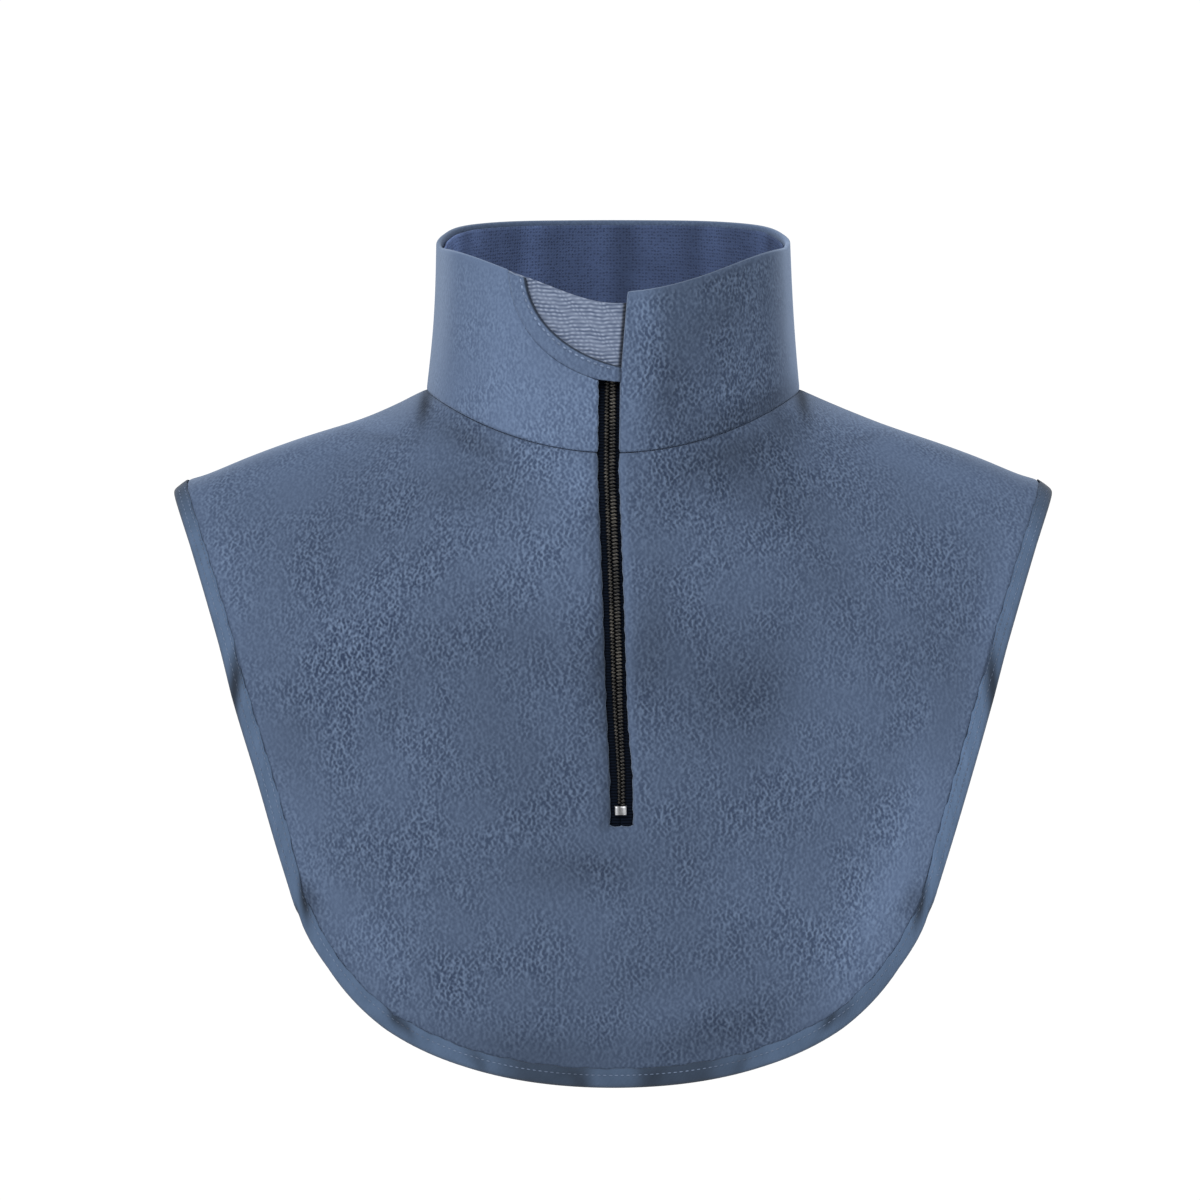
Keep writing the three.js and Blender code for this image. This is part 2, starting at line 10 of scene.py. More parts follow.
import bpy
import numpy as np
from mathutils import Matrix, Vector


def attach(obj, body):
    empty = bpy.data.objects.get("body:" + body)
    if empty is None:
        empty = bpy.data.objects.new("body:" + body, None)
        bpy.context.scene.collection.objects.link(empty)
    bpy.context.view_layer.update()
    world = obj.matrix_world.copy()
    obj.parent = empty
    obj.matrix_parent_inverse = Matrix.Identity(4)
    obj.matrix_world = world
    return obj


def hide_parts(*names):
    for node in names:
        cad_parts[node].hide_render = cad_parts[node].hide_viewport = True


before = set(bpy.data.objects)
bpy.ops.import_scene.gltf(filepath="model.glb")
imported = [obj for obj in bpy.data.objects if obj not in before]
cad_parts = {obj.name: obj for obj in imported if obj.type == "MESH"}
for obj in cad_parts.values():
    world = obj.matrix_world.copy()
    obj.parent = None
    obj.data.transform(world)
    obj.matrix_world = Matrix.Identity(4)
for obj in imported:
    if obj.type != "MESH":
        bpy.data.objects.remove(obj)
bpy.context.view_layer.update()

# Metres to a millimetre, and a wave texture's own length of one wave at scale 1
MM = 0.001
WAVE_UNIT = 6.28

# Collar: half widths and depths of the neck opening, and heights along its two edges
SEAM_HALF_WIDTH = 88
SEAM_FRONT = 82
SEAM_BACK = 76
SEAM_SIDE_HEIGHT = 2
SEAM_FRONT_DROP = 25
SEAM_BACK_RISE = 8
RIM_HALF_WIDTH = 83.3
RIM_FRONT = 80
RIM_BACK = 72
RIM_SIDE_HEIGHT = 73
RIM_FRONT_DROP = 21.5
RIM_BACK_RISE = 9.6
RIM_SAG = {"depth": 2.2, "place": 0.25}

# Yoke: the shoulder tips, the armhole edges, which curve in a little, and the round hem, as x and z
TIP = np.array([209.5, -46.5])
CORNER = np.array([151, -227])
ARMHOLE_HANDLES = ((170.5, -167), (184.6, -105))
CORNER_HANDLE = np.array([-11, -31.5])
HEM_HANDLE = 115
FRONT_LENGTH = 314
BACK_LENGTH = 298
CHEST_DEPTH = 118
BACK_DEPTH = 108

# Fall of the yoke in degrees below level at the seam and at its end, on the shoulder line
# and in the middle, how fast it changes, and the reach of the curves' handles
SEAM_FALL = {"shoulder": 24, "chest": 77, "bend": 0.9}
END_FALL = {"shoulder": 25, "chest": 90, "bend": 2.6}
SEAM_HANDLE = {"shoulder": 42, "chest": 88}
EDGE_HANDLE = {"shoulder": 44, "chest": 96}

# Cloth thicknesses and gaps
FLEECE = 2.4
KNIT = 1.0
TAPE = 0.6
BINDING = 0.7
GAP = 0.3
LAYER_GAP = 0.55

# How far the rounded ends of cloth stand out: fleece, knit, the hem's band, ends that are butted,
# ends in the neck seam, and an end that fits into the hollow of the next, which shuts out the light
FLEECE_ROLL = 0.9
KNIT_ROLL = 0.3
BAND_ROLL = 0.25
BUTTED = 0.02
NECK_ROLL = 0.55
TONGUE = 0.18

# How far cloth turns in beside the neck seam, and up to where, and how far it ends short of the
# slit's lines, of the collar's right edge and, inside the hem's band, of the band's fold
TUCK = {"sides": 0.45, "front": 0.08, "reach": 2.6}
SLIT_TRIM = 0.5
RIGHT_TRIM = 0.4
BIB_SHORT = {"edge": 2.3, "tips": 1.8}

# Zip: its centre line, as pairs of height and x, and its parts. The coils wind in ovals, each
# given by its middle's distance from the centre line and its half width
ZIP_LINE = ((-194, 3.4), (-170, 3.1), (-138, 1.4), (-90, -0.1), (-32, -2.4), (2, -2.1), (40, -1.5))
ZIP_TOP = 28
SLIT_BOTTOM = -194
TAPE_BOTTOM = -201.5
SLIT_HALF_WIDTH = 5.2
TAPE_PARTING = 0.05
TAPE_WIDTH = 13.5
COIL_TOP = 15.5
COIL_PITCH = 1.65
COIL_STRAND = 0.36
COIL_STEPS = 14
COIL_HALF_DEPTH = 0.6
COIL_OVALS = {-1: (1.1, 0.9), 1: (1.75, 1.45)}
COIL_STANDS_OFF = 0.1
DIVE = {"start": -6, "end": 18, "depth": 5.2}
SEAM_ROUND = 5
TAPE_FACE = -FLEECE / 2 - LAYER_GAP
TEETH_FOOT = TAPE_FACE + GAP
COIL_AXIS = TAPE_FACE + 1.25

# The zip's pressed pieces: half widths from the lower end up, lower end, length, height, and the
# height of the ridge along the middle, or of the hollow if it is below zero, and their edge's height
PAD_EDGE = 0.3
STOP = {"half_widths": (2.9, 2.9), "bottom": -188.3, "length": 4.6, "height": 2.5, "ridge": -0.35}
SLIDER = {
    "half_widths": (2.6, 3.1, 3.5, 3.5, 3.2), "bottom": COIL_TOP + GAP, "length": 8.0, "height": 2.6,
    "ridge": 0.5,
}

# Cut-away corner of the collar: its edge and the line where its hem is folded, as x and z, the
# height of its foot, the collar's straight right edge, as pairs of height and x, and the reach of
# the guard and the lining, as x, and as z or run
CUT_CURVE = ((-41, 61.5), (-40.5, 41), (-25, 24), (3.2, 17))
HEM_CURVE = ((-48.5, 62), (-47.5, 36), (-32, 18), (-7.4, 10.8))
FLAP_FOOT = 9.6
RIGHT_EDGE = ((-30, 2.9), (9, 3.5), (52, 7.0))
GUARD = {"left": -52, "right": 13, "bottom": 13, "top_left": 0.985, "top_right": 0.925}
LINING = {"left": -52.6, "right": 16.5, "bottom": 0.07, "top": 0.965}

# Pattern lengths: once round half the neck, the collar's height, the flap's and the guard's
# length, the pitch of the guard's ribs and of their loops, the waist of the collar, the place of
# the flap's topstitch as a share of its width, and its highest run
NECK_ROUND = 260
COLLAR_HEIGHT = 75
FLAP_LENGTH = 74
GUARD_LENGTH = 65
RIB_PITCH = 1.78
LOOP_PITCH = 3.1
COLLAR_WAIST = 1.1
FLAP_SEWN = 0.24
FLAP_TOP = 0.986

# Relief: the puff of the flap, of a bib beside the band, and of the guard's ribs, the depth of
# the lining's pleats, and how far guard and lining lie farther back than the collar's gap asks
FLAP_PUFF = 0.3
BIB_PUFF = {"height": 0.45, "reach": 6}
RIB_RELIEF = 0.4
PLEAT_DEPTH = 0.6
GUARD_BACK = 0.15
LINING_BACK = 0.6

# The hem's band: its width on the side and at the bottom, where it widens, how far it is folded
# flat at the tips, its lift and puff, the round of its fold, and the pitch of its small pleats
BINDING_SIDE = 7.6
BINDING_BOTTOM = 9.4
BINDING_WIDENS = 0.6
TIP_REACH = 9
BAND_LIFT = 1.75
BAND_PUFF = 0.7
FOLD_ROUND = 1.9
PLEAT_PITCH = 3.7

# Soft folds: x, z, direction in degrees from level, length, width and height
SHOULDER_FOLDS = (
    (-116, -13, 24, 22, 12, -1.4), (128, -20, -24, 30, 12, -0.6), (-204, -45, 25, 9, 10, 1.0),
    (204, -45, -25, 9, 10, 1.0),
)
FRONT_FOLDS = (
    (-120, -106, 32, 80, 19, 2.6), (-112, -150, 30, 60, 20, -2.0), (-26, -62, 68, 42, 13, 1.3),
    (62, -44, -12, 42, 16, -1.8), (52, -128, 38, 60, 24, -2.0), (118, -96, -48, 62, 20, 1.8),
    (0, -214, 0, 26, 7, -1.2), (-82, -226, -48, 60, 22, 1.6), (86, -236, 46, 62, 22, 1.8),
    (-30, -280, -14, 40, 16, -1.4), (46, -276, 16, 36, 16, -1.4), *SHOULDER_FOLDS,
)
BACK_FOLDS = (
    (-70, -120, 62, 90, 24, 2.4), (74, -130, -60, 90, 24, 2.4), (0, -190, 90, 80, 26, -2.0),
    *SHOULDER_FOLDS,
)
FOLD_FADE = 0.12

# Painted light and shade on the front, in the same columns, as shares of the colour: painted shade of
# folds, creases and the neck seam, painted rim light near the edges, and some nap that lies lighter or darker
FRONT_PAINTED_SHADE_AND_NAP = (
    (-26, -30, 0, 26, 13, 0.26), (-36, -68, 0, 30, 20, 0.1), (-67, -18, -24, 20, 6, -0.2),
    (56, -24, 14, 38, 14, -0.26), (56, -22, 14, 26, 7, -0.12), (33, -119, 30, 34, 24, -0.2),
    (52, -138, 40, 26, 18, -0.14), (-25, -114, 0, 24, 18, -0.16), (-56, -125, 84, 46, 20, -0.14),
    (-125, -55, 10, 50, 24, -0.08), (-16, -214, 0, 30, 10, -0.2), (0, -270, 0, 110, 34, -0.15),
    (-42, -296, -12, 36, 10, -0.16), (56, -286, 16, 34, 13, -0.24), (142, -182, 72, 40, 13, 0.28),
    (122, -236, 56, 36, 13, 0.3), (180, -92, 72, 36, 8, 0.2), (-185, -80, -72, 32, 8, 0.1),
    (-118, -243, -48, 34, 11, 0.12), (-150, -198, -70, 28, 10, 0.12), (-88.5, -3, 80, 10, 3.4, -0.72),
    (89, -2, -80, 9, 3.4, -0.72), (-155, -34, 18, 56, 7, 0.1), (155, -34, -18, 56, 7, 0.18),
    (-108, -19, -5, 19, 2.6, -0.16), (-112, -14, -12, 20, 4, 0.08), (119, -20, 10, 13, 2.6, -0.16),
    (-18, -205, 0, 60, 36, -0.1), (72, -42, -10, 30, 14, -0.16), (94, -72, -60, 40, 16, -0.12),
    (72, -138, 70, 36, 14, -0.16), (-78, -150, 84, 50, 18, -0.1), (-66, -40, 0, 26, 10, -0.2),
    (118, -232, 52, 60, 26, 0.2), (0, -296, 0, 70, 12, -0.1), (168, -50, -20, 40, 12, 0.1),
    (16, -110, 85, 30, 9, -0.14), (12, -58, 80, 18, 8, -0.08), (-88, -112, 60, 30, 16, -0.13),
    (-152, -86, 70, 30, 20, -0.07), (-108, -62, 0, 26, 18, -0.07), (-56, -162, 60, 30, 18, -0.1),
    (-14, -38, 60, 20, 9, 0.2), (-11, -130, 90, 36, 8, -0.18), (128, -14, -14, 36, 7, 0.2),
    (-132, -16, 14, 36, 7, 0.2), (120, -264, 45, 30, 9, 0.2), (0, -300, 0, 60, 10, -0.06),
    (22, -84, 85, 42, 12, -0.13), (62, -124, 60, 26, 14, -0.1), (34, -204, 88, 34, 12, -0.1),
    (56, -250, 30, 22, 12, -0.08), (-36, -168, 80, 30, 16, -0.1), (-150, -150, 80, 30, 12, -0.09),
    (-105, -145, 70, 18, 10, -0.08), (150, -158, 72, 24, 8, -0.14), (24, -278, 20, 24, 12, 0.14),
    (76, -7, -50, 12, 6, -0.24), (-62, -22, -22, 34, 9, -0.12), (138, -230, 62, 8, 4, -0.42),
    (-141, -229, -62, 8, 4, -0.42),
)
# Painted light and shade on the collar's front, in the same columns: painted shade of its folds and above the
# neck seam, and some painted light
COLLAR_PAINTED_SHADES = (
    (70, -2, 22, 24, 6, -0.28), (58, 14, 80, 22, 12, 0.14), (-30, 2, -20, 30, 10, 0.06),
    (24, 6, 72, 22, 7, -0.17), (42, 36, 24, 22, 7, -0.1), (48, 2, 0, 9, 7, 0.12), (15, 42, 90, 12, 6, 0.16),
)

# Places where the nap is pressed flat or stands up, as changes of its relief
FRONT_GRAINS = (
    (-150, -40, 24, 70, 18, -0.4), (150, -40, -24, 70, 18, -0.4), (108, -122, 0, 50, 40, -0.2),
    (0, -250, 0, 60, 30, -0.15), (-118, -112, 60, 50, 20, 0.25), (60, -34, 0, 40, 14, 0.25),
    (150, -170, 72, 50, 10, -0.5), (130, -226, 60, 30, 10, -0.4), (-150, -170, -72, 60, 11, -0.45),
    (-128, -232, -56, 24, 8, -0.3), (-70, -270, 20, 40, 14, 0.2),
)
BIB_GRAIN = 0.8

# Places where the hem's band is gathered: x and z of the edge there, length along the edge,
# place and width across the band as shares of it, and strength
FRONT_PUCKERS = (
    (-182, -140, 9.0, 0.45, 0.95, 1.15), (180, -138, 10.0, 0.45, 0.95, 1.15),
    (-147, -246, 7.0, 1.0, 0.5, 1.2), (147, -248, 7.5, 1.0, 0.55, 1.2),
    (-149, -241, 3.5, 0.0, 0.2, 1.1), (149, -240, 4.5, 0.0, 0.2, 1.1),
    (-104, -299, 5.0, 0.9, 0.4, 0.9), (104, -299, 5.0, 0.9, 0.4, 0.9),
    (-98, -303, 3.0, 0.7, 0.4, 0.5), (112, -296, 4.0, 0.75, 0.4, 0.5),
    (-64, -314, 4.0, 0.6, 0.8, 0.5), (60, -314, 4.0, 0.6, 0.8, 0.5),
    (-16, -314, 4.0, 0.4, 0.7, 0.4), (18, -314, 4.0, 0.4, 0.7, 0.4),
)
BACK_PUCKERS = (
    (-176, -150, 7.5, 0.4, 0.8, 0.9), (170, -168, 7.5, 0.4, 0.8, 0.9),
    (-120, -276, 6.0, 0.8, 0.6, 0.8), (132, -262, 6.0, 0.8, 0.6, 0.8), (40, -296, 5.0, 0.7, 0.6, 0.6),
)

# Painted light and shade of the hem's band by distance along the edge from its middle: painted shade
# round the bottom, where the band turns under, and at its ends, and painted rim light up the sides
BAND_PAINTED_SHADES = ((0, 0.82), (8, 0.78), (14, 0.44), (42, 0.42), (58, 0.92), (80, 1.08), (98, 1.05), (130, 1.1),
              (165, 1.15), (240, 1.15), (345, 1.2), (366, 1.15), (382, 0.85), (397, 0.6), (405, 0.5))

# How far the band's folded edge stands inside the pattern's line, by the same distance
BAND_STEPS = ((0, 0.5), (70, 0.55), (96, 0.15), (112, -0.1), (128, 0.3), (150, 1.0), (166, 0.2), (182, -0.1),
              (192, 0.3), (204, 0.2), (240, -0.3), (264, -0.55), (288, -0.7), (312, -0.2), (330, -0.1),
              (365, 0.3), (390, 0.1), (409, -0.3))

# Painted light and shade of the collar by turn, lighter on its lit left and at both sides and darker
# on its right front, partly a real difference of its nap; and the strength of its grain by turn
COLLAR_PAINTED_LIGHT = ((0.0, 1.2), (0.05, 1.06), (0.1, 0.76), (0.2, 0.76), (0.32, 0.86), (0.37, 1.07), (0.42, 1.46),
                (0.5, 1.65), (0.62, 1.3), (0.85, 1.0), (1.25, 1.0), (1.5, 1.1), (1.6, 1.28), (1.8, 1.4),
                (2.0, 1.38))
COLLAR_GRAINS = ((0.0, 0.5), (0.035, 0.55), (0.07, 1.0), (0.3, 0.85), (0.37, 0.5), (0.5, 0.35), (0.85, 0.65),
                 (1.2, 0.65), (1.5, 0.3), (1.6, 0.4), (1.8, 0.4), (2.0, 0.6))

# Stitches, and the rows of them on the hem's band: depth inside the hem's end, and the distance
# from the hem's middle where the row starts on both sides. Both end short of the shoulder tips
HEM_STITCH = {"pitch": 2.7, "length": 1.7, "width": 0.55}
FLAP_STITCH = {"pitch": 3.3, "length": 1.9, "width": 1.1}
HEM_ROWS = {"outer": (3.8, 190), "inner": (6.7, 1.3)}
ROWS_END = 12


def smoothstep(values, low, high):
    """Soft step from 0 at low to 1 at high."""
    share = np.clip((values - low) / (high - low), 0, 1)
    return share * share * (3 - 2 * share)


def even(steps):
    """Shares from 0 to 1 in even steps."""
    return np.linspace(0, 1, steps + 1)


def lerp(first, second, share):
    """Straight blend from first to second."""
    return first + (second - first) * share


def unit(vectors):
    """The same directions with length 1. A vector of no length stays."""
    length = np.linalg.norm(vectors, axis=-1, keepdims=True)
    return vectors / np.where(length > 0, length, 1)


def grids(*values):
    """Numbers and arrays as arrays of one shape."""
    return np.broadcast_arrays(*(np.asarray(value, float) for value in values))


def bell(values, width):
    """Smooth bump: 1 at 0, falling away within a width on both sides."""
    return np.exp(-((values / width) ** 2))


def chart(table, values):
    """Values read from a table of pairs, with straight lines between them."""
    return np.interp(values, *zip(*table))


def ripple(values, *waves):
    """Uneven waviness: a sum of sines, each given as wavelength, height and shift."""
    return sum(height * np.sin(2 * np.pi * values / length + shift) for length, height, shift in waves)


def shuffled(numbers):
    """Whole numbers turned into values that follow no pattern: the sine of a large multiple."""
    return np.sin(numbers * 12.9898) * 4.7


def lengths(points):
    """How far along a line of points each of them is."""
    return np.concatenate([[0], np.cumsum(np.linalg.norm(np.diff(points, axis=0), axis=1))])


def cubic(points, share):
    """Cubic Bezier curve through four points, at an array of shares."""
    start, first, second, end = (np.asarray(point, float) for point in points)
    share = np.asarray(share, float)[..., None]
    rest = 1 - share
    return rest**3 * start + 3 * rest**2 * share * first + 3 * rest * share**2 * second + share**3 * end


def even_cubic(points, share):
    """The curve at equal steps of its length instead of equal shares."""
    fine = cubic(points, np.linspace(0, 1, 400))
    arc = lengths(fine)
    return np.stack([np.interp(share, arc / arc[-1], fine[:, k]) for k in range(2)], -1)


def yoke_edge(length, depth):
    """Half of the yoke's outer edge, from the hem's middle to the shoulder tip: two cubic curves
    seen from the front, laid on a trunk of oval plan. Gives shares of its length, the points
    there, and its length."""
    share = np.linspace(0, 1, 500)
    hem = cubic(((0, -length), (HEM_HANDLE, -length), CORNER + CORNER_HANDLE, CORNER), share)
    armhole = cubic((CORNER, *ARMHOLE_HANDLES, TIP), 1 - (1 - share[1:]) ** 2)
    flat = np.concatenate([hem, armhole])
    oval = np.sqrt(np.clip(1 - (flat[:, 0] / TIP[0]) ** 2, 0, None))
    points = np.stack([flat[:, 0], depth * oval, flat[:, 1]], -1)
    arc = lengths(points)
    return arc / arc[-1], points, arc[-1]


FRONT_EDGE = yoke_edge(FRONT_LENGTH, -CHEST_DEPTH)
BACK_EDGE = yoke_edge(BACK_LENGTH, BACK_DEPTH)

# Both sides of the hem: its edge, its puckers, the turn of its middle and which way it goes round
SIDES = {"front": (FRONT_EDGE, FRONT_PUCKERS, 0, 1), "back": (BACK_EDGE, BACK_PUCKERS, 1, -1)}
BAND_COLUMNS = {"front": 520, "back": 480}


def seam(turn):
    """The neck seam: an oval, deeper in front, that dips in front and rises a little behind."""
    across, forward = np.sin(np.pi * turn), np.cos(np.pi * turn)
    front = forward > 0
    height = SEAM_SIDE_HEIGHT + np.where(front, -SEAM_FRONT_DROP, SEAM_BACK_RISE) * forward**2
    depth = -np.where(front, SEAM_FRONT, SEAM_BACK) * forward
    return np.stack([SEAM_HALF_WIDTH * across, depth, height], -1)


def rim(turn):
    """The collar's upper edge: a slightly smaller oval, low in front and high behind, that sags a
    little just in front of both sides."""
    across, forward = np.sin(np.pi * turn), np.cos(np.pi * turn)
    aside = np.maximum(forward, 0) / RIM_SAG["place"]
    sag = RIM_SAG["depth"] * (aside * np.exp(1 - aside)) ** 2
    drop = np.where(forward > 0, -RIM_FRONT_DROP * forward**3 - sag, RIM_BACK_RISE * (1 - (1 + forward) ** 2))
    depth = -np.where(forward > 0, RIM_FRONT, RIM_BACK) * forward
    return np.stack([RIM_HALF_WIDTH * across, depth, RIM_SIDE_HEIGHT + drop], -1)


def edge(turn):
    """The yoke's outer edge, by equal steps of its length."""
    side = np.where(turn > 1, turn - 2, turn)
    front = np.abs(side) <= 0.5
    share = 2 * np.where(front, np.abs(side), 1 - np.abs(side))
    halves = [
        np.stack([np.interp(share, arc, points[:, k]) for k in range(3)], -1)
        for arc, points, _ in (FRONT_EDGE, BACK_EDGE)]
    return np.where(front[..., None], *halves) * np.stack([np.sign(side), 0 * side + 1, 0 * side + 1], -1)


def off_shoulder(turn):
    """0 on the shoulder line and 1 in the middle of front and back."""
    return np.abs(np.cos(np.pi * turn))


def by_side(values, turn):
    """A size of the yoke between its values on the shoulder line and in the middle."""
    return lerp(values["shoulder"], values["chest"], off_shoulder(turn))


def fall(angles, share):
    """Angle of the yoke below level, between its values on the shoulder line and in the middle."""
    return np.radians(lerp(angles["shoulder"], angles["chest"], share))


def yoke_line(turn, share):
    """A line of the yoke: a cubic curve that leaves the seam outwards, rounds the shoulder or the
    chest, and comes down to the edge."""
    start, end = seam(turn), edge(turn)
    middle = off_shoulder(turn)
    seam_fall = fall(SEAM_FALL, middle ** SEAM_FALL["bend"])
    end_fall = fall(END_FALL, 1 - (1 - middle) ** END_FALL["bend"])
    out = unit(start * (1 / SEAM_HALF_WIDTH, 1 / SEAM_FRONT, 0))
    first, last = (
        np.concatenate([out[..., :2] * np.cos(down)[..., None], -np.sin(down)[..., None]], -1)
        for down in (seam_fall, end_fall))
    reach, back = (by_side(handle, turn)[..., None] for handle in (SEAM_HANDLE, EDGE_HANDLE))
    return cubic((start, start + first * reach, end - last * back, end), share)


def cloth(turn, run):
    """The whole garment as one surface: the yoke's lines below the seam, and straight lines from
    the seam to the rim above it."""
    turn, run = grids(turn, run)
    above = lerp(seam(turn), rim(turn), run[..., None])
    return np.where((run < 0)[..., None], yoke_line(turn, np.where(run < 0, -run, 0)), above)


def outward(turn, run, above):
    """Direction out of the cloth: across its two slopes, which are taken above or below the seam."""
    step = 0.004
    low = np.where(above, np.maximum(run - step, 0), run - step)
    high = np.where(above, run + step, np.minimum(run + step, 0))
    across_way = cloth(turn + step, run) - cloth(turn - step, run)
    return unit(np.cross(across_way, cloth(turn, high) - cloth(turn, low)))


def soft_spots(points, table):
    """Sum of the table's long soft bumps at the points' x and z."""
    total = np.zeros(points.shape[:-1])
    for x, z, degrees, length, width, height in table:
        angle = math.radians(degrees)
        dx, dz = points[..., 0] - x, points[..., 2] - z
        lengthwise = (dx * math.cos(angle) + dz * math.sin(angle)) / length
        crosswise = (dz * math.cos(angle) - dx * math.sin(angle)) / width
        total += height * np.exp(-lengthwise**2 - crosswise**2)
    return total


def fold(run, points):
    """Height of the soft folds. They fade out at the seam and stay off the collar."""
    front = points[..., 1] < 0
    height = np.where(front, soft_spots(points, FRONT_FOLDS), soft_spots(points, BACK_FOLDS))
    return np.where(run < 0, height * smoothstep(-run, 0, FOLD_FADE), 0)


def on_cloth(turn, run, lift):
    """Points of the garment, lift outside the middle of its cloth."""
    turn, run = grids(turn, run)
    points = cloth(turn, run)
    return points + outward(turn, run, run > 0) * (lift + fold(run, points))[..., None]


def both_faces(turn, run, outer, inner):
    """Outer and inner face of a piece of cloth, each from its lift."""
    return [on_cloth(turn, run, lift) for lift in (outer, inner)]


def turn_at(x, run):
    """The front's turn at a distance x from its middle plane, by a few Newton steps."""
    x, run = grids(x, run)
    step, turn = 0.002, np.zeros(x.shape)
    for _ in range(4):
        here = cloth(turn, run)[..., 0]
        turn = turn + (x - here) * step / (cloth(turn + step, run)[..., 0] - here)
    return turn


def find(x, z):
    """Turn and run of the front's points that are seen at x and z, by Newton steps."""
    step, stride = 0.001, 0.1
    turn = np.zeros(np.shape(x))
    run = np.where(np.asarray(z) > seam(np.zeros(1))[0, 2], 0.5, -0.5)
    for _ in range(12):
        here, aside, higher = cloth(turn, run), cloth(turn + step, run), cloth(turn, run + step)
        rise = (higher - here)[..., 2]
        spread = (aside - here)[..., 0]
        run = run + np.clip((z - here[..., 2]) * step / rise, -2 * stride, 2 * stride)
        turn = turn + np.clip((x - here[..., 0]) * step / spread, -stride, stride)
    return turn, run


def run_at(z):
    """The run at height z on the middle line of the front."""
    return find(0 * np.asarray(z, float), np.asarray(z, float))[1]


def zip_x(z):
    """Where the zip's centre line is at a height."""
    return chart(ZIP_LINE, z)


def on_zip(offset, z, lift):
    """Points of the zip, beside its centre line. It lies along the cloth, rounds the angle at the
    seam, and dives behind the flap."""
    offset, z = grids(offset, z)
    run = run_at(z)
    turn = turn_at(zip_x(z) + offset, run)
    above = outward(turn, np.maximum(run, 0), True)
    below = outward(turn, np.minimum(run, 0), False)
    middle = SEAM_SIDE_HEIGHT - SEAM_FRONT_DROP
    share = smoothstep(z, middle - SEAM_ROUND, middle + SEAM_ROUND)[..., None]
    points = cloth(turn, run)
    lift = lift - DIVE["depth"] * smoothstep(z, DIVE["start"], DIVE["end"]) + fold(run, points)
    return points + unit(lerp(below, above, share)) * lift[..., None]


def short_of_edge(turn, distance):
    """Run where a line of the yoke is a distance short of the outer edge, measured square to the
    edge: it divides by the sine of the angle at which the line meets the edge."""
    step = 0.004
    edge_way = unit(edge(turn + step) - edge(turn - step))
    line_way = unit(cloth(turn, -1) - cloth(turn, step - 1))
    sine = np.linalg.norm(np.cross(edge_way, line_way), axis=-1)
    reach = 3 * by_side(EDGE_HANDLE, turn)
    return -(1 - distance / sine / reach)


def slab(outer, inner, keep, roll):
    """Closed cloth from two grids of points, its outer and inner face. Cells where keep is false
    stay open. Each border gets a rounded wall, whose middle line stands roll beyond the border.
    Gives the points, the faces, and for each point its place in the grid."""
    rows, columns = keep.shape
    count = (rows + 1) * (columns + 1)
    index = np.arange(count).reshape(rows + 1, columns + 1)
    middle = (outer + inner) / 2
    up = unit(np.gradient(middle, axis=0)).reshape(-1, 3)
    across = unit(np.gradient(middle, axis=1)).reshape(-1, 3)
    cells = np.stack([index[:-1, :-1], index[:-1, 1:], index[1:, 1:], index[1:, :-1]], -1)
    faces = [cells[keep], cells[keep][:, ::-1] + count]
    ringed = np.pad(keep, 1)
    neighbours = (ringed[:-2, 1:-1], ringed[1:-1, 2:], ringed[2:, 1:-1], ringed[1:-1, :-2])
    push = np.zeros((count, 3))
    for side, (neighbour, way) in enumerate(zip(neighbours, (-up, across, up, -across))):
        border = cells[keep & ~neighbour]
        a, b = border[:, side], border[:, (side + 1) % 4]
        wall = a + 2 * count, b + 2 * count
        faces += [np.stack([a, wall[0], wall[1], b], -1)]
        faces += [np.stack([wall[0], a + count, b + count, wall[1]], -1)]
        np.add.at(push, a, way[a])
        np.add.at(push, b, way[b])
    bulge = middle.reshape(-1, 3) + unit(push) * np.broadcast_to(roll, index.shape).reshape(-1, 1)
    points = np.concatenate([outer.reshape(-1, 3), inner.reshape(-1, 3), bulge])
    used, faces = np.unique(np.concatenate(faces), return_inverse=True)
    return points[used], faces.reshape(-1, 4), used % count


def ring_faces(rings, sides):
    """Four-cornered faces between closed rings of points that follow each other."""
    k, s = np.meshgrid(np.arange(rings - 1) * sides, np.arange(sides), indexing="ij")
    after = (s + 1) % sides
    return np.stack([k + s, k + after, k + sides + after, k + sides + s], -1).reshape(-1, 4)


def pattern_grid(rows, columns):
    """Shares across and up a piece, at the points of a grid."""
    return np.meshgrid(even(columns), even(rows))


def add_piece(name, points, faces, material, nodes, values):
    """Makes one mesh in metres and ties it to the frame. values are point attributes by name, and
    the one called place holds the pattern's own coordinates."""
    mesh = bpy.data.meshes.new(name)
    mesh.from_pydata((points * MM).tolist(), [], faces)
    for label, numbers in values.items():
        kind, key = ("FLOAT", "value") if numbers.ndim == 1 else ("FLOAT_VECTOR", "vector")
        field = mesh.attributes.new(label, kind, "POINT")
        field.data.foreach_set(key, numbers.astype(np.float32).ravel())
    mesh.shade_smooth()
    mesh.materials.append(material)
    piece = bpy.data.objects.new(name, mesh)
    bpy.context.scene.collection.objects.link(piece)
    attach(piece, "root")
    if nodes:
        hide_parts(*nodes)
    return piece


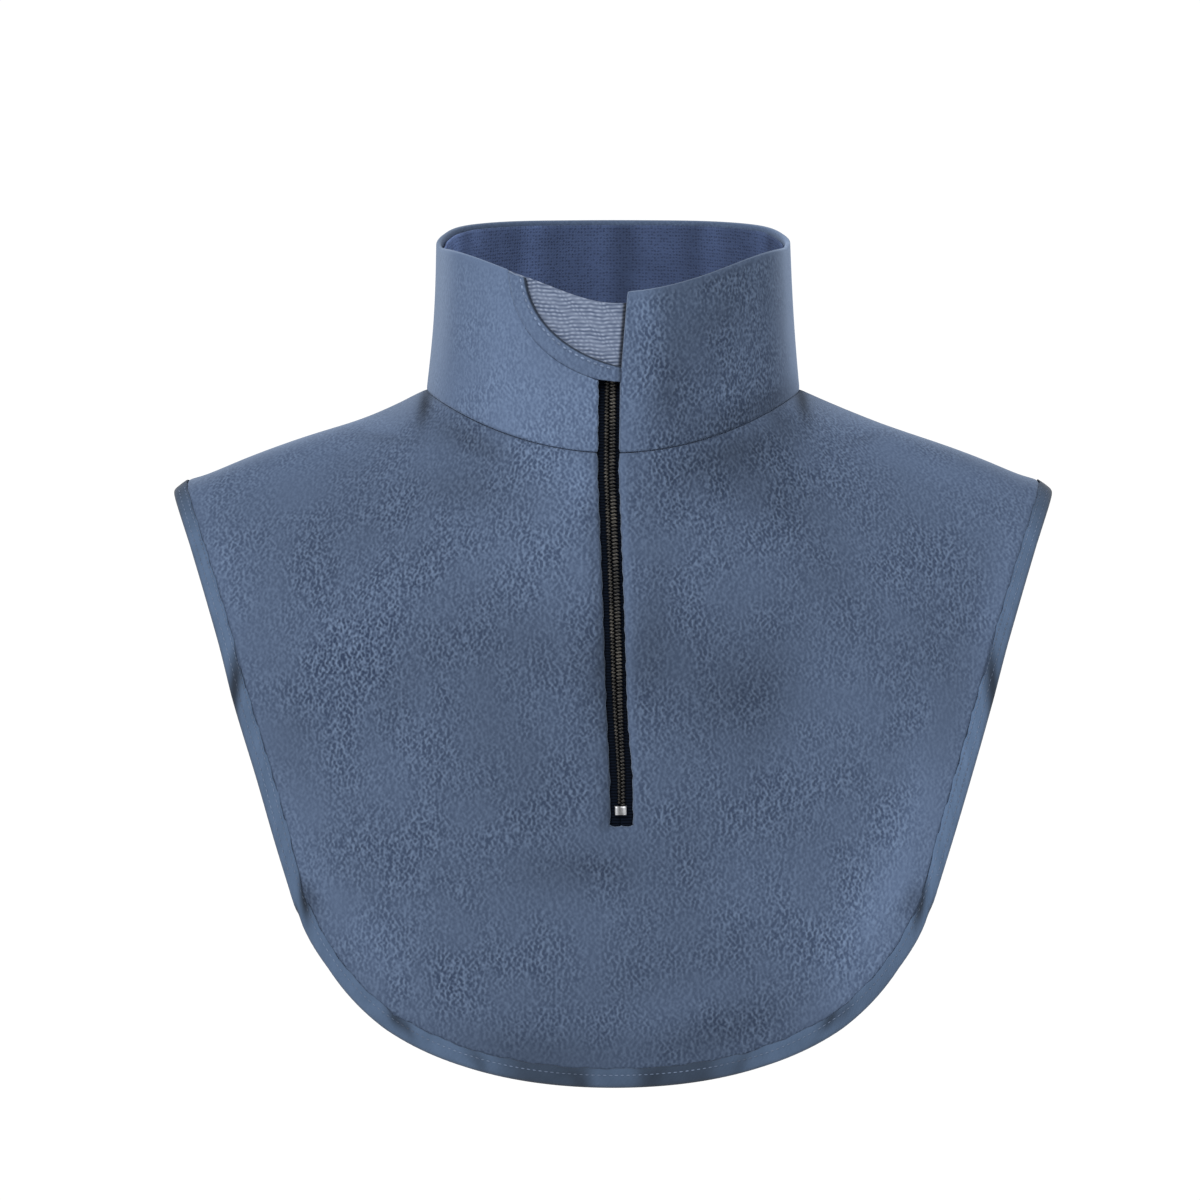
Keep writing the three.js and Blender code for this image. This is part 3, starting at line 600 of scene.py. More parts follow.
def cloth_piece(name, outer, inner, material, slot, nodes,
                tone=1, grain=1, place=None, opening=None, roll=KNIT_ROLL):
    """A closed piece of cloth with its tone, the strength of its grain and its pattern's place,
    which is given as two lengths in millimetres. opening picks the cells that stay open."""
    shape = outer.shape[:2]
    keep = np.ones((shape[0] - 1, shape[1] - 1), bool)
    if opening:
        keep[opening] = False
    points, faces, spot = slab(outer, inner, keep, roll)
    values = {"tone": tone, "grain": grain}
    values = {label: np.broadcast_to(numbers, shape).ravel()[spot] for label, numbers in values.items()}
    if place is not None:
        place = np.stack(np.broadcast_arrays(*place, np.zeros(shape)), -1)
        values["place"] = place.reshape(-1, 3)[spot] * MM
    return add_piece(name, points, faces.tolist(), material, nodes, values)


def linear(hex_code):
    """An sRGB colour such as 52637f as linear red, green and blue, with full cover."""
    parts = np.array([int(hex_code[k:k + 2], 16) for k in (0, 2, 4)]) / 255
    parts = np.where(parts <= 0.04045, parts / 12.92, ((parts + 0.055) / 1.055) ** 2.4)
    return (*(float(part) for part in parts), 1.0)


def add(tree, kind, inputs=None, output=0, **settings):
    """Adds one shader node and gives one of its outputs. inputs maps its sockets to values, to
    sRGB colours such as 52637f, or to other nodes' outputs."""
    made = tree.nodes.new("ShaderNode" + kind)
    for label, value in settings.items():
        setattr(made, label, value)
    for label, value in (inputs or {}).items():
        if isinstance(value, bpy.types.NodeSocket):
            tree.links.new(value, made.inputs[label])
        else:
            made.inputs[label].default_value = linear(value) if isinstance(value, str) else value
    return made.outputs[output]


def new_material(name, **sockets):
    """A material with one principled shader, whose even values are set on its own sockets."""
    material = bpy.data.materials.new(name)
    material.use_nodes = True
    for label, value in sockets.items():
        material.node_tree.nodes["Principled BSDF"].inputs[label.replace("_", " ")].default_value = value
    return material, material.node_tree


def finish_material(material, colour, height, depth):
    """Joins the colour, multiplied by the piece's tone, which carries painted light and shade as well
    as the cloth's own tone, and relief of a depth in millimetres to the shader."""
    tree = material.node_tree
    shader = tree.nodes["Principled BSDF"]
    tone = add(tree, "Attribute", output="Fac", attribute_name="tone")
    toned = add(tree, "VectorMath", {0: colour, "Scale": tone}, operation="SCALE")
    tree.links.new(toned, shader.inputs["Base Color"])
    tree.links.new(add(tree, "Bump", {"Height": height, "Distance": depth * MM}), shader.inputs["Normal"])
    return material


def specked_material(name, size, detail, dark, light, depth, **sockets):
    """A material whose colour and relief follow one noise, with specks of a size in millimetres."""
    material, tree = new_material(name, **sockets)
    place = add(tree, "TexCoord", output="Object")
    specks = add(tree, "TexNoise", {"Vector": place, "Scale": 1 / (size * MM), "Detail": detail})
    colour = add(tree, "MixRGB", {"Fac": specks, "Color1": dark, "Color2": light})
    return finish_material(material, colour, specks, depth)


def fleece_material():
    """Anti-pill polyester fleece: knitted, brushed and sheared. The eye sees short pebbly tufts
    about 2.5 mm apart and a little taller than wide. Their colour holds painted light and shade: each
    tuft is painted light on one side and dark on the other, as a leaning nap lit from the side shows,
    its valleys are painted darker, and some patches are smoother than others. Seen at a slant its
    colour turns paler, a painted sheen for the fibre ends and the rim light."""
    material, tree = new_material(
        "anti_pill_fleece", Roughness=0.95, Specular_IOR_Level=0.12, Sheen_Weight=0.18, Sheen_Roughness=0.55,
        Sheen_Tint=linear("a6b4c9"))
    place = add(tree, "TexCoord", output="Object")
    upright = add(tree, "Mapping", {"Vector": place, "Scale": (1, 1, 0.82)})
    beside = add(tree, "VectorMath", {0: upright, 1: (1.2 * MM, 0, 0)}, operation="ADD")
    # Painted light and shade of the tufts: the noise less a share of itself shifted aside, so each tuft is
    # painted light on one side and dark on the other
    tufts, shaded = (
        add(tree, "TexNoise", {"Vector": way, "Scale": 1 / (1.28 * MM), "Detail": 0.3})
        for way in (upright, beside))
    lit_and_shaded_tufts = add(tree, "Math", {0: shaded, 1: -0.4, 2: tufts}, operation="MULTIPLY_ADD")
    crowns = add(tree, "MapRange", {
        "Value": lit_and_shaded_tufts, "From Min": 0.12, "From Max": 0.56, "To Min": -0.29, "To Max": 0.41})
    patches = add(tree, "TexNoise", {"Vector": place, "Scale": 1 / (24 * MM), "Detail": 2.0})
    patch = add(tree, "MapRange", {
        "Value": patches, "From Min": 0.36, "From Max": 0.62, "To Min": 0.42, "To Max": 1.06})
    grain = add(tree, "Attribute", output="Fac", attribute_name="grain")
    amount = add(tree, "Math", {0: patch, 1: grain}, operation="MULTIPLY")
    relief = add(tree, "Math", {0: crowns, 1: amount, 2: 0.37}, operation="MULTIPLY_ADD")
    fibres = add(tree, "TexNoise", {"Vector": place, "Scale": 1 / (0.5 * MM), "Detail": 1.0})
    fuzz = add(tree, "Math", {0: fibres, 1: 0.12, 2: relief}, operation="MULTIPLY_ADD")
    # The colour follows the relief: painted shade in the valleys and painted light on the tips
    nap = add(tree, "MixRGB", {"Fac": fuzz, "Color1": "24324e", "Color2": "7d91af"})
    clouds = add(tree, "TexNoise", {"Vector": place, "Scale": 1 / (80 * MM), "Detail": 2.0})
    cloud = add(tree, "MapRange", {
        "Value": clouds, "From Min": 0.3, "From Max": 0.7, "To Min": 0.93, "To Max": 1.07})
    clouded = add(tree, "VectorMath", {0: nap, "Scale": cloud}, operation="SCALE")
    # Painted sheen: paler colour where the cloth is seen at a slant, for the fibre ends and the rim light
    slant = add(tree, "LayerWeight", {"Blend": 0.5}, "Facing")
    painted_rim_sheen = add(tree, "MapRange", {
        "Value": slant, "From Min": 0.4, "From Max": 1.0, "To Max": 0.9}, interpolation_type="SMOOTHSTEP")
    colour = add(tree, "MixRGB", {"Fac": painted_rim_sheen, "Color1": clouded, "Color2": "8090a9"})
    return finish_material(material, colour, fuzz, 0.85)


def band_material():
    """Stretch band: a plain polyester knit, pressed flat under the needle. The eye sees a smooth,
    slightly bluer strip with fine slanting ribs about 0.8 mm apart."""
    material, tree = new_material(
        "stretch_band", Roughness=0.8, Specular_IOR_Level=0.3, Sheen_Weight=0.15, Sheen_Roughness=0.5)
    place = add(tree, "Attribute", output="Vector", attribute_name="place")
    turned = add(tree, "Mapping", {"Vector": place, "Rotation": (0, 0, math.radians(38))})
    ribs = add(tree, "TexWave", {
        "Vector": turned, "Scale": 1 / (0.8 * MM) / WAVE_UNIT, "Distortion": 1.2, "Detail": 1.0}, "Fac")
    wear = add(tree, "TexNoise", {"Vector": place, "Scale": 1 / (9 * MM), "Detail": 3.0})
    height = add(tree, "Math", {0: ribs, 1: 0.5, 2: wear}, operation="MULTIPLY_ADD")
    colour = add(tree, "MixRGB", {"Fac": wear, "Color1": "42566f", "Color2": "5d7290"})
    return finish_material(material, colour, height, 0.12)


def rib_material():
    """Rib knit of the chin guard. The ribs are in the mesh. The eye sees pale crests over darker
    grooves, painted light and painted shade that follow the ribs' height, and fine loops about 0.9 mm apart."""
    material, tree = new_material(
        "rib_knit", Roughness=0.85, Specular_IOR_Level=0.2, Sheen_Weight=0.1, Sheen_Roughness=0.5)
    place = add(tree, "TexCoord", output="Object")
    crest = add(tree, "Attribute", output="Fac", attribute_name="grain")
    loops = add(tree, "TexNoise", {"Vector": place, "Scale": 1 / (0.9 * MM), "Detail": 2.0})
    # Colour by the ribs' height: painted light on the crests, painted shade in the grooves
    colour = add(tree, "MixRGB", {"Fac": crest, "Color1": "54627e", "Color2": "acb9d1"})
    return finish_material(material, colour, loops, 0.15)


def mesh_material():
    """Mesh knit of the collar's lining: dark, with small holes in uneven rows about 1.6 mm
    apart."""
    material, tree = new_material("mesh_knit", Roughness=0.9, Specular_IOR_Level=0.2)
    place = add(tree, "Attribute", output="Vector", attribute_name="place")
    holes = add(tree, "TexVoronoi", {"Vector": place, "Scale": 1 / (1.6 * MM), "Randomness": 0.35})
    rings = add(tree, "MapRange", {
        "Value": holes, "From Min": 0.1, "From Max": 0.5}, interpolation_type="SMOOTHSTEP")
    yarn = add(tree, "MixRGB", {"Fac": rings, "Color1": "3e4a67", "Color2": "485778"})
    clouds = add(tree, "TexNoise", {"Vector": place, "Scale": 1 / (14 * MM), "Detail": 2.0})
    cloud = add(tree, "MapRange", {"Value": clouds, "To Min": 0.8, "To Max": 1.2})
    colour = add(tree, "VectorMath", {0: yarn, "Scale": cloud}, operation="SCALE")
    return finish_material(material, colour, rings, 0.25)


def tape_material():
    """Woven polyester zip tape, black: fine level rows about 0.7 mm apart, matt."""
    material, tree = new_material("woven_tape", Roughness=0.9, Specular_IOR_Level=0.05)
    place = add(tree, "Attribute", output="Vector", attribute_name="place")
    rows = add(tree, "TexWave", {
        "Vector": place, "Scale": 1 / (0.7 * MM) / WAVE_UNIT, "Distortion": 0.6}, "Fac", bands_direction="Y")
    colour = add(tree, "MixRGB", {"Fac": rows, "Color1": "060a12", "Color2": "121926"})
    return finish_material(material, colour, rows, 0.15)


def coil_material():
    """Nylon monofilament of the coil, drawn and dyed a bronze black: it keeps small bright
    reflections along each turn, and the coils add painted highlights to them."""
    return specked_material(
        "nylon_coil", 12, 2.0, "2a2a2c", "5a554b", 0.02, Roughness=0.32, Specular_IOR_Level=0.6, IOR=1.53)


def metal_material():
    """Pressed aluminium of the stop and the slider, tumbled smooth: soft silver with faint
    scuffs."""
    return specked_material(
        "tumbled_aluminium", 0.8, 3.0, "b9bcc2", "f0f1f3", 0.05, Metallic=1.0, Roughness=0.38)


def thread_material():
    """Spun polyester sewing thread, a shade lighter than the cloth, with the twist of its plies."""
    return specked_material(
        "sewing_thread", 0.5, 1.0, "5b6d8b", "8595af", 0.1, Roughness=0.6, Specular_IOR_Level=0.4)


FLEECE_CLOTH = fleece_material()
BAND = band_material()
RIB_KNIT = rib_material()
MESH_KNIT = mesh_material()
WOVEN_TAPE = tape_material()
COIL = coil_material()
METAL = metal_material()
THREAD = thread_material()


def tuck(turn, distance):
    """How far cloth turns in beside the neck seam, at a distance from it: hardly at all round the
    middle of the front, where the nap hides the seam."""
    depth = lerp(TUCK["sides"], TUCK["front"], smoothstep(np.cos(np.pi * turn), 0.82, 0.96))
    return depth * np.clip(1 - distance / TUCK["reach"], 0, 1) ** 2


def parted(points, way):
    """Front and back stop a hair short of each other on the shoulder line, as at a sewn seam."""
    limit = GAP / 8
    y = np.minimum(points[..., 1], -limit) if way > 0 else np.maximum(points[..., 1], limit)
    return np.stack([points[..., 0], y, points[..., 2]], -1)


def left_edge():
    """Run and turn of the collar's edge along the folded line of the flap, from the foot up."""
    turn, run = find(*even_cubic(HEM_CURVE, np.linspace(1, 0, 60)).T)
    return run, turn


HEM_RUN, HEM_TURN = left_edge()


def collar_lift(turn, run):
    """The collar's uneven bulges, and its waist at the sides, as a lift from the plain surface."""
    aside = np.abs(np.sin(np.pi * turn)) ** 4
    waist = np.where(turn > 1, 1, 0.5) * COLLAR_WAIST * np.sin(np.pi * run) * aside
    return ripple(turn * NECK_ROUND, (43, 0.25, 1), (91, 0.4, 3)) * smoothstep(run, 0, 0.5) - waist


def collar_grid():
    """Turns and runs of the collar's grid: rows from the seam to the rim, columns round the neck
    from the straight right edge to the zip and the flap's folded line. Gives also the height of
    the collar and the number of the first row that ends at that line."""
    height = np.linalg.norm(rim(np.zeros(1)) - seam(np.zeros(1)))
    level = lerp((FLEECE_ROLL - GAP) / height, 1 - FLEECE_ROLL / height, even(60))
    z = cloth(0 * level, level)[..., 2]
    tufts = ripple(z, (11, 0.18, 0), (3.1, 0.14, 2))
    slit = turn_at(zip_x(z) - SLIT_HALF_WIDTH - SLIT_TRIM + tufts, level)
    left = np.where(level < HEM_RUN[0], slit, np.interp(level, HEM_RUN, HEM_TURN))
    right = turn_at(chart(RIGHT_EDGE, z) + RIGHT_TRIM, level)
    turn = lerp(right[:, None], 2 + left[:, None], even(340))
    return turn, np.broadcast_to(level[:, None], turn.shape), height, np.argmax(level >= HEM_RUN[0])


def collar_cloth():
    """The stand-up collar: its surface from the seam to the rim, lifted by its bulges, with its
    foot tucked into the seam."""
    turn, run, height, flap_row = collar_grid()
    turned = tuck(turn, run * height)
    lift = collar_lift(turn, run) - turned
    surface = cloth(turn, run)
    # Painted light and shade: the collar's lit and shaded sides by turn, painted shade of its folds and seam
    # on the front, and painted shade where its foot is tucked into the seam
    spots = soft_spots(surface, COLLAR_PAINTED_SHADES) * smoothstep(-surface[..., 1], 0, 20)
    tone = chart(COLLAR_PAINTED_LIGHT, turn) * (1 + spots) * (1 - 0.3 * turned)
    grain = chart(COLLAR_GRAINS, turn) * (1 - 0.7 * smoothstep(run, 0.93, 0.98))
    rolls = np.full(turn.shape, FLEECE_ROLL)
    rolls[flap_row:, -1] = BUTTED
    rolls[0] = NECK_ROLL
    piece = cloth_piece(
        "collar_cloth", *both_faces(turn, run, lift + FLEECE / 2, lift - FLEECE / 2), FLEECE_CLOTH, "fleece",
        ["collar"], tone, grain, roll=rolls)


def flap_line(share, across):
    """Turn and run on the flap's hem: along its curve by share, and across it from the cut edge
    at 0 to the folded line at 1. Its foot crosses the zip to the collar's straight edge."""
    steps = 7 / 8
    outer = even_cubic(HEM_CURVE, np.clip(share / steps, 0, 1))
    foot = np.clip((share - steps) / (1 - steps), 0, 1)[..., None]
    outer = lerp(outer, np.array([chart(RIGHT_EDGE, FLAP_FOOT) - GAP, FLAP_FOOT]), foot)
    inner = even_cubic(CUT_CURVE, share)
    middle = lerp(inner, outer, np.asarray(across)[..., None])
    return find(middle[..., 0], middle[..., 1])


def flap_band():
    """The hem of the cut-away corner, of the same fleece: puffed between its fold and its
    topstitch, and thin at the cut edge. It is painted lighter, as the lit left of the collar is, and
    its cut edge, groove, fold and foot carry painted shade."""
    share, across = pattern_grid(rows=14, columns=110)
    across = across[::-1]
    turn, run = flap_line(share, lerp(0.06, 0.98, across))
    run = np.minimum(run, FLAP_TOP)
    groove = bell(across - FLAP_SEWN, 0.08)
    puff = FLAP_PUFF * np.sin(np.pi * across)
    outer = FLEECE / 2 + puff - FLAP_PUFF * groove - 0.9 * smoothstep(across, 0.12, 0)
    # Painted light and shade: 1.3 paints the band as light as the lit left of the collar, and painted shade
    # darkens the cut edge, the topstitch's groove, the fold, the part near the zip and the foot by the
    # collar's right edge
    tone = 1.3 - 1.02 * smoothstep(across, 0.06, 0.02) - 0.16 * groove - 0.1 * smoothstep(across, 0.86, 0.98)
    tone = tone * (1 - 0.1 * smoothstep(share, 0.5, 0.9)) * (1 - 0.45 * smoothstep(share, 0.965, 1))
    rolls = np.full(share.shape, 0.5)
    rolls[0] = BUTTED
    piece = cloth_piece(
        "flap_band", *both_faces(turn, run, outer, puff - FLEECE / 2), FLEECE_CLOTH, "binding",
        ["flap_hem"], tone, 0.4, roll=rolls)


def rib_relief(along, z):
    """Height of the guard's knit, from 0 to 1: a cosine of z makes level ribs, a cosine along them
    breaks them into loops that are shifted from rib to rib, and some patches are worn flat."""
    rib = z / RIB_PITCH
    crest = 0.5 + 0.5 * np.cos(2 * np.pi * rib)
    drift = ripple(along + z, (13, 1.0, 0), (7.9, 0.7, 2))
    loops = 0.5 + 0.5 * np.cos(2 * np.pi * ((along + drift) / LOOP_PITCH + shuffled(np.round(rib))))
    patches = ripple(along + 2 * z, (17, 0.6, 0), (7.3, 0.5, 1)) + ripple(z, (11, 0.5, 2))
    crisp = 0.5 + 0.5 * np.clip(patches, -1, 1)
    return lerp(0.5, crest * (0.4 + 0.6 * loops), 0.5 + 0.5 * crisp)


def chin_guard():
    """The guard behind the cut-away: the collar's surface, lowered by a gap and following its
    bulges, with the ribs' relief. It is dark where the collar's right edge shades it."""
    share, up = pattern_grid(rows=230, columns=150)
    top = lerp(GUARD["top_left"], GUARD["top_right"], smoothstep(share, 0.15, 0.85))
    run = lerp(float(run_at(GUARD["bottom"])), top, up)
    turn = turn_at(lerp(GUARD["left"], GUARD["right"], share), 0 * share + 0.5)
    surface = cloth(turn, run)
    along = share * GUARD_LENGTH
    z = surface[..., 2] + 0.3 * ripple(along, (21, 1, 0), (9, 0.4, 1), (4.3, 0.2, 2))
    relief = rib_relief(along, z)
    face = -FLEECE / 2 - LAYER_GAP + np.minimum(collar_lift(turn + 2, run), 0)
    beyond = surface[..., 0] - chart(RIGHT_EDGE, z)
    shade = 0.94 - 0.78 * smoothstep(beyond, -2.6, -1.3)
    piece = cloth_piece(
        "guard_knit", *both_faces(turn, run, face - GUARD_BACK + RIB_RELIEF * relief, face - KNIT),
        RIB_KNIT, "rib_knit", ["chin_guard"], shade, relief, (along, z))


def collar_lining():
    """The knitted lining behind the collar, with a few shallow upright pleats at the back."""
    share, up = pattern_grid(rows=50, columns=330)
    right, left = (float(turn_at(LINING[side], 0.5)) for side in ("right", "left"))
    turn = lerp(right, 2 + left, share)
    run = lerp(LINING["bottom"], LINING["top"], up)
    around = turn * NECK_ROUND
    pleats = ripple(around, (33, 0.5, 0.4), (19, 0.3, 2), (57, 0.4, 1)) * smoothstep(up, 0, 0.4)
    face = -FLEECE / 2 - LAYER_GAP - LINING_BACK + collar_lift(turn, run) + pleats * PLEAT_DEPTH
    # Painted light at the lining's two ends near the front, and painted light and shade that follows the
    # pleats, with the same waves as their depth
    lit = 0.25 * smoothstep(turn, 1, 1.2) + 1.3 * smoothstep(turn, 1.27, 1.4)
    lit = lit + 0.15 * smoothstep(turn, 0.78, 0.62)
    tone = (1.08 + 0.16 * ripple(around, (33, 1, 0.4), (19, 0.5, 2))) * (1 + lit)
    piece = cloth_piece(
        "lining_knit", *both_faces(turn, run, face, face - KNIT), MESH_KNIT, "lining_knit",
        ["collar_lining"], tone, 1, (around, run * COLLAR_HEIGHT))


def bib_end(turn, half_edge):
    """Run of the fleece's end inside the hem's band. At the shoulder tips, where the band is folded
    flat, the fleece ends farther in."""
    from_middle = np.abs((turn + 0.5) % 1 - 0.5)
    to_tip = half_edge[2] * (1 - 2 * from_middle)
    farther = BIB_SHORT["tips"] * bell(to_tip, TIP_REACH)
    return short_of_edge(turn, BINDING + GAP + BIB_SHORT["edge"] + farther)


def bib_faces(turn, run, way):
    """Outer and inner face of a bib's fleece: tucked in at the neck seam, puffed beside the hem's
    band and pressed flat under it. Gives also how far it is tucked in and puffed."""
    turned = tuck(turn, -run * 3 * by_side(SEAM_HANDLE, turn))
    beyond = (run - short_of_edge(turn, binding_width(turn))) * 3 * by_side(EDGE_HANDLE, turn)
    puffed, pressed = bell(beyond, BIB_PUFF["reach"]), smoothstep(beyond, 1.4, -0.4)
    lift = BIB_PUFF["height"] * puffed * (1 - pressed) - turned
    half = FLEECE / 2 * (1 - 0.35 * pressed)
    outer, inner = (parted(face, way) for face in both_faces(turn, run, lift + half, lift - half))
    return outer, inner, turned, puffed


def bib_rolls(shape, way):
    """How far a bib's ends stand out, at its hem, in the neck seam and on the shoulder lines."""
    rolls = np.full(shape, FLEECE_ROLL)
    rolls[-1] = NECK_ROLL
    rolls[:, [0, -1]] = TONGUE * way
    return rolls


def slit_shade(offset):
    """Shade and calm of the nap beside the slit, by the distance right of the zip's middle: the
    right edge is pressed flat and catches the light, and the left edge lies in shade."""
    left, right = -offset - SLIT_HALF_WIDTH, offset - SLIT_HALF_WIDTH
    ragged = 0.8 + 0.4 * ripple(left, (1.1, 1, 0))
    shade = 0.14 * bell(right - 1, 1.6) - 0.34 * ragged * bell(left - 0.6, 4)
    return shade, bell(right - 1, 2.6) + 0.5 * bell(left - 1, 2)


def front_grid(beside, across, below, above):
    """Turns and runs of the front's grid. Its columns spread from the zip's slit to the shoulder
    lines, beside it and across it, and its rows go from the hem up to the slit's end and on to the
    seam. The slit's edges are uneven and its end is ragged, as cut fleece is."""
    slit_run = float(run_at(SLIT_BOTTOM))
    reach = 3 * SEAM_HANDLE["chest"]
    top_run = -(FLEECE_ROLL - GAP) / reach
    level = np.concatenate([lerp(-1, slit_run, even(below)), lerp(slit_run, top_run, even(above)[1:])])
    z = cloth(0 * level, level)[..., 2]
    tufts = ripple(z, (13, 0.18, 0), (2.9, 0.14, 2)) + SLIT_TRIM
    left = turn_at(zip_x(z) - SLIT_HALF_WIDTH - tufts, level)[:, None]
    wider = SLIT_TRIM + 0.8 * smoothstep(z, -145, -175) + ripple(z, (9, 0.16, 1), (3.3, 0.14, 0))
    right = turn_at(zip_x(z) + SLIT_HALF_WIDTH + wider, level)[:, None]
    gap = lerp(left, right, even(across))
    turn = np.concatenate([lerp(-0.5, left, even(beside)[:-1]), gap, lerp(right, 0.5, even(beside)[1:])], 1)
    row = np.arange(len(level))[:, None] + 0 * turn
    run = np.where(row < below, lerp(bib_end(turn, FRONT_EDGE), slit_run, row / below), level[:, None])
    place = np.linspace(-1, 1, across + 1)
    ragged = (0.5 * place**4 + 0.2 * np.cos(place * 7) + 0.12 * np.cos(place * 16)) / reach
    run[below, beside:beside + across + 1] += ragged
    return turn, run


def front_bib():
    """The front of the bib: the yoke's surface with the slit left open above its end, with painted
    light and shade of its folds, creases and seam, some nap that lies lighter or darker, and painted light
    and shade beside the slit."""
    beside, across, below = 112, 12, 52
    turn, run = front_grid(beside, across, below, above=84)
    outer, inner, turned, puffed = bib_faces(turn, run, 1)
    surface = cloth(turn, run)
    shade, calm = slit_shade(surface[..., 0] - zip_x(surface[..., 2]))
    inside_slit = surface[..., 2] > SLIT_BOTTOM
    # Painted light and shade from the table and beside the slit, and painted shade where the fleece is tucked
    # into the neck seam
    tone = (1 + soft_spots(surface, FRONT_PAINTED_SHADE_AND_NAP) + shade * inside_slit) * (1 - 0.35 * turned)
    grain = (BIB_GRAIN + soft_spots(surface, FRONT_GRAINS)) * (1 - 0.6 * calm * inside_slit)
    grain = grain * (1 - 0.35 * puffed)
    piece = cloth_piece(
        "bib_front_cloth", outer, inner, FLEECE_CLOTH, "fleece", ["front_bib"], tone, grain,
        opening=np.s_[below:, beside:beside + across], roll=bib_rolls(run.shape, 1))


def back_bib():
    """The back of the bib, from shoulder line to shoulder line, one whole piece of fleece."""
    share, up = pattern_grid(rows=132, columns=230)
    turn = lerp(0.5, 1.5, share)
    top_run = -(FLEECE_ROLL - GAP) / (3 * by_side(SEAM_HANDLE, turn))
    run = lerp(bib_end(turn, BACK_EDGE), top_run, up)
    outer, inner, turned, puffed = bib_faces(turn, run, -1)
    # Painted light, lighter towards the shoulder lines, and painted shade where the fleece is tucked into the
    # neck seam
    tone = (1 + 0.2 * smoothstep(outer[..., 1], 40, 5)) * (1 - 0.35 * turned)
    piece = cloth_piece(
        "bib_back_cloth", outer, inner, FLEECE_CLOTH, "fleece", ["back_bib"], tone,
        BIB_GRAIN * (1 - 0.35 * puffed), roll=bib_rolls(run.shape, -1))


def gathering(arc, share, puckers, half_edge):
    """How much the hem's band is gathered at a distance along the edge and a share across it: a sum
    of soft oval spots, each at the point of the edge nearest to its x and z."""
    arcs, points, length = half_edge
    total = 0 * arc + 0 * share
    for x, z, along, middle, wide, strength in puckers:
        nearest = np.argmin((abs(x) - points[:, 0]) ** 2 + (z - points[:, 2]) ** 2)
        place = math.copysign(arcs[nearest] * length, x)
        slant = (arc - place) * math.copysign(1, x) - 5 * (share - middle)
        total = total + strength * np.exp(-((slant / along) ** 2) - ((share - middle) / wide) ** 2)
    return total


def binding_width(turn):
    """How far the binding reaches onto the cloth: wider round the bottom of the hem."""
    return lerp(BINDING_SIDE, BINDING_BOTTOM, smoothstep(off_shoulder(turn), BINDING_WIDENS, 1))


def binding_height(share, gathered):
    """Lift of the binding's outer face: puffed in its middle, pressed down at its stitched edge."""
    puff = np.sin(np.pi * np.clip(share, 0, 1)) ** 0.8
    return BAND_LIFT + BAND_PUFF * puff - 0.55 * np.clip(gathered, 0, 1) * puff


def band_rows(width, arc):
    """Rows of a band, as shares of its width from its fold and as rises from -1 inside the garment
    to 1 outside: flat on the inside, a half circle round the hem's end, and flat on the outside."""
    flat = np.linspace(1, FOLD_ROUND / width, 12)
    bend = np.radians(np.linspace(-90, 90, 9))[1:-1, None] + 0 * arc
    share = np.concatenate([flat, (FOLD_ROUND / width) * (1 - np.cos(bend)), flat[::-1]])
    return share, np.concatenate([0 * flat - 1, np.sin(bend), 0 * flat + 1])


def band_painted_shade(arc, depth, gathered, tip, way):
    """Painted light and shade of a band: its table by the distance along it, painted shade where it is
    gathered, along its fold and at the shoulder tips, and painted light on the front's right side."""
    tone = (1 - 0.72 * np.clip(gathered, 0, 1.1)) * chart(BAND_PAINTED_SHADES, np.abs(arc))
    right = smoothstep(arc, 130, 190) * smoothstep(arc, 330, 260) * (way > 0)
    return tone * (1 - 0.6 * tip**3) * (1 - 0.45 * bell(depth, 1.1)) * (1 + 0.28 * right)


def binding(name, half_edge, puckers, middle, way, columns):
    """A band folded over the hem's edge in a U: rows go from its edge on the inside, round the
    hem's end, to its edge on the outside. Its lift is its puff and its small pleats, lower where it
    is gathered, and its ends on the shoulders are folded flat."""
    turns = np.linspace(middle - 0.5, middle + 0.5, columns + 1)
    arc = 2 * (turns - middle) * half_edge[2] * way
    waves = 0.25 * ripple(arc, (17, 1, 0), (7, 0.5, 1))
    width = binding_width(turns) * (1 - 0.12 * gathering(arc, 1 + 0 * arc, puckers, half_edge)) + waves
    share, rise = band_rows(width, arc)
    gathered = gathering(arc, share, puckers, half_edge)
    tip = bell(half_edge[2] - np.abs(arc), TIP_REACH)
    height = binding_height(share, gathered) + 0.12 * np.sin(2 * np.pi * (arc + share * 6) / PLEAT_PITCH)
    height = lerp(height, 0.7 + 1.4 * np.clip(share, 0, 1), tip)
    notches = gathering(arc, 0 * arc, [spot for spot in puckers if spot[4] < 0.3], half_edge)
    step = chart(BAND_STEPS, np.abs(arc)) * (way > 0) + 0.5 * np.clip(notches, 0, 1)
    distance = share * width + step * (1 - share)
    thinned = distance + BINDING * np.clip(1 - share * width / FOLD_ROUND, 0, 1)
    thick = BINDING * (1 - 0.4 * smoothstep(share, 0.8, 1))
    turn = np.broadcast_to(turns, distance.shape)
    outer = parted(on_cloth(turn, short_of_edge(turn, distance), rise * height), way)
    inner = parted(on_cloth(turn, short_of_edge(turn, thinned), rise * (height - thick)), way)
    rolls = np.full(share.shape, BAND_ROLL)
    rolls[:, [0, -1]] = TONGUE * way
    piece = cloth_piece(
        f"hem_band_{name}", outer, inner, BAND, "binding", [f"{name}_binding"],
        band_painted_shade(arc, share * width, gathered, tip, way), 0.3, (arc, rise * distance), roll=rolls)


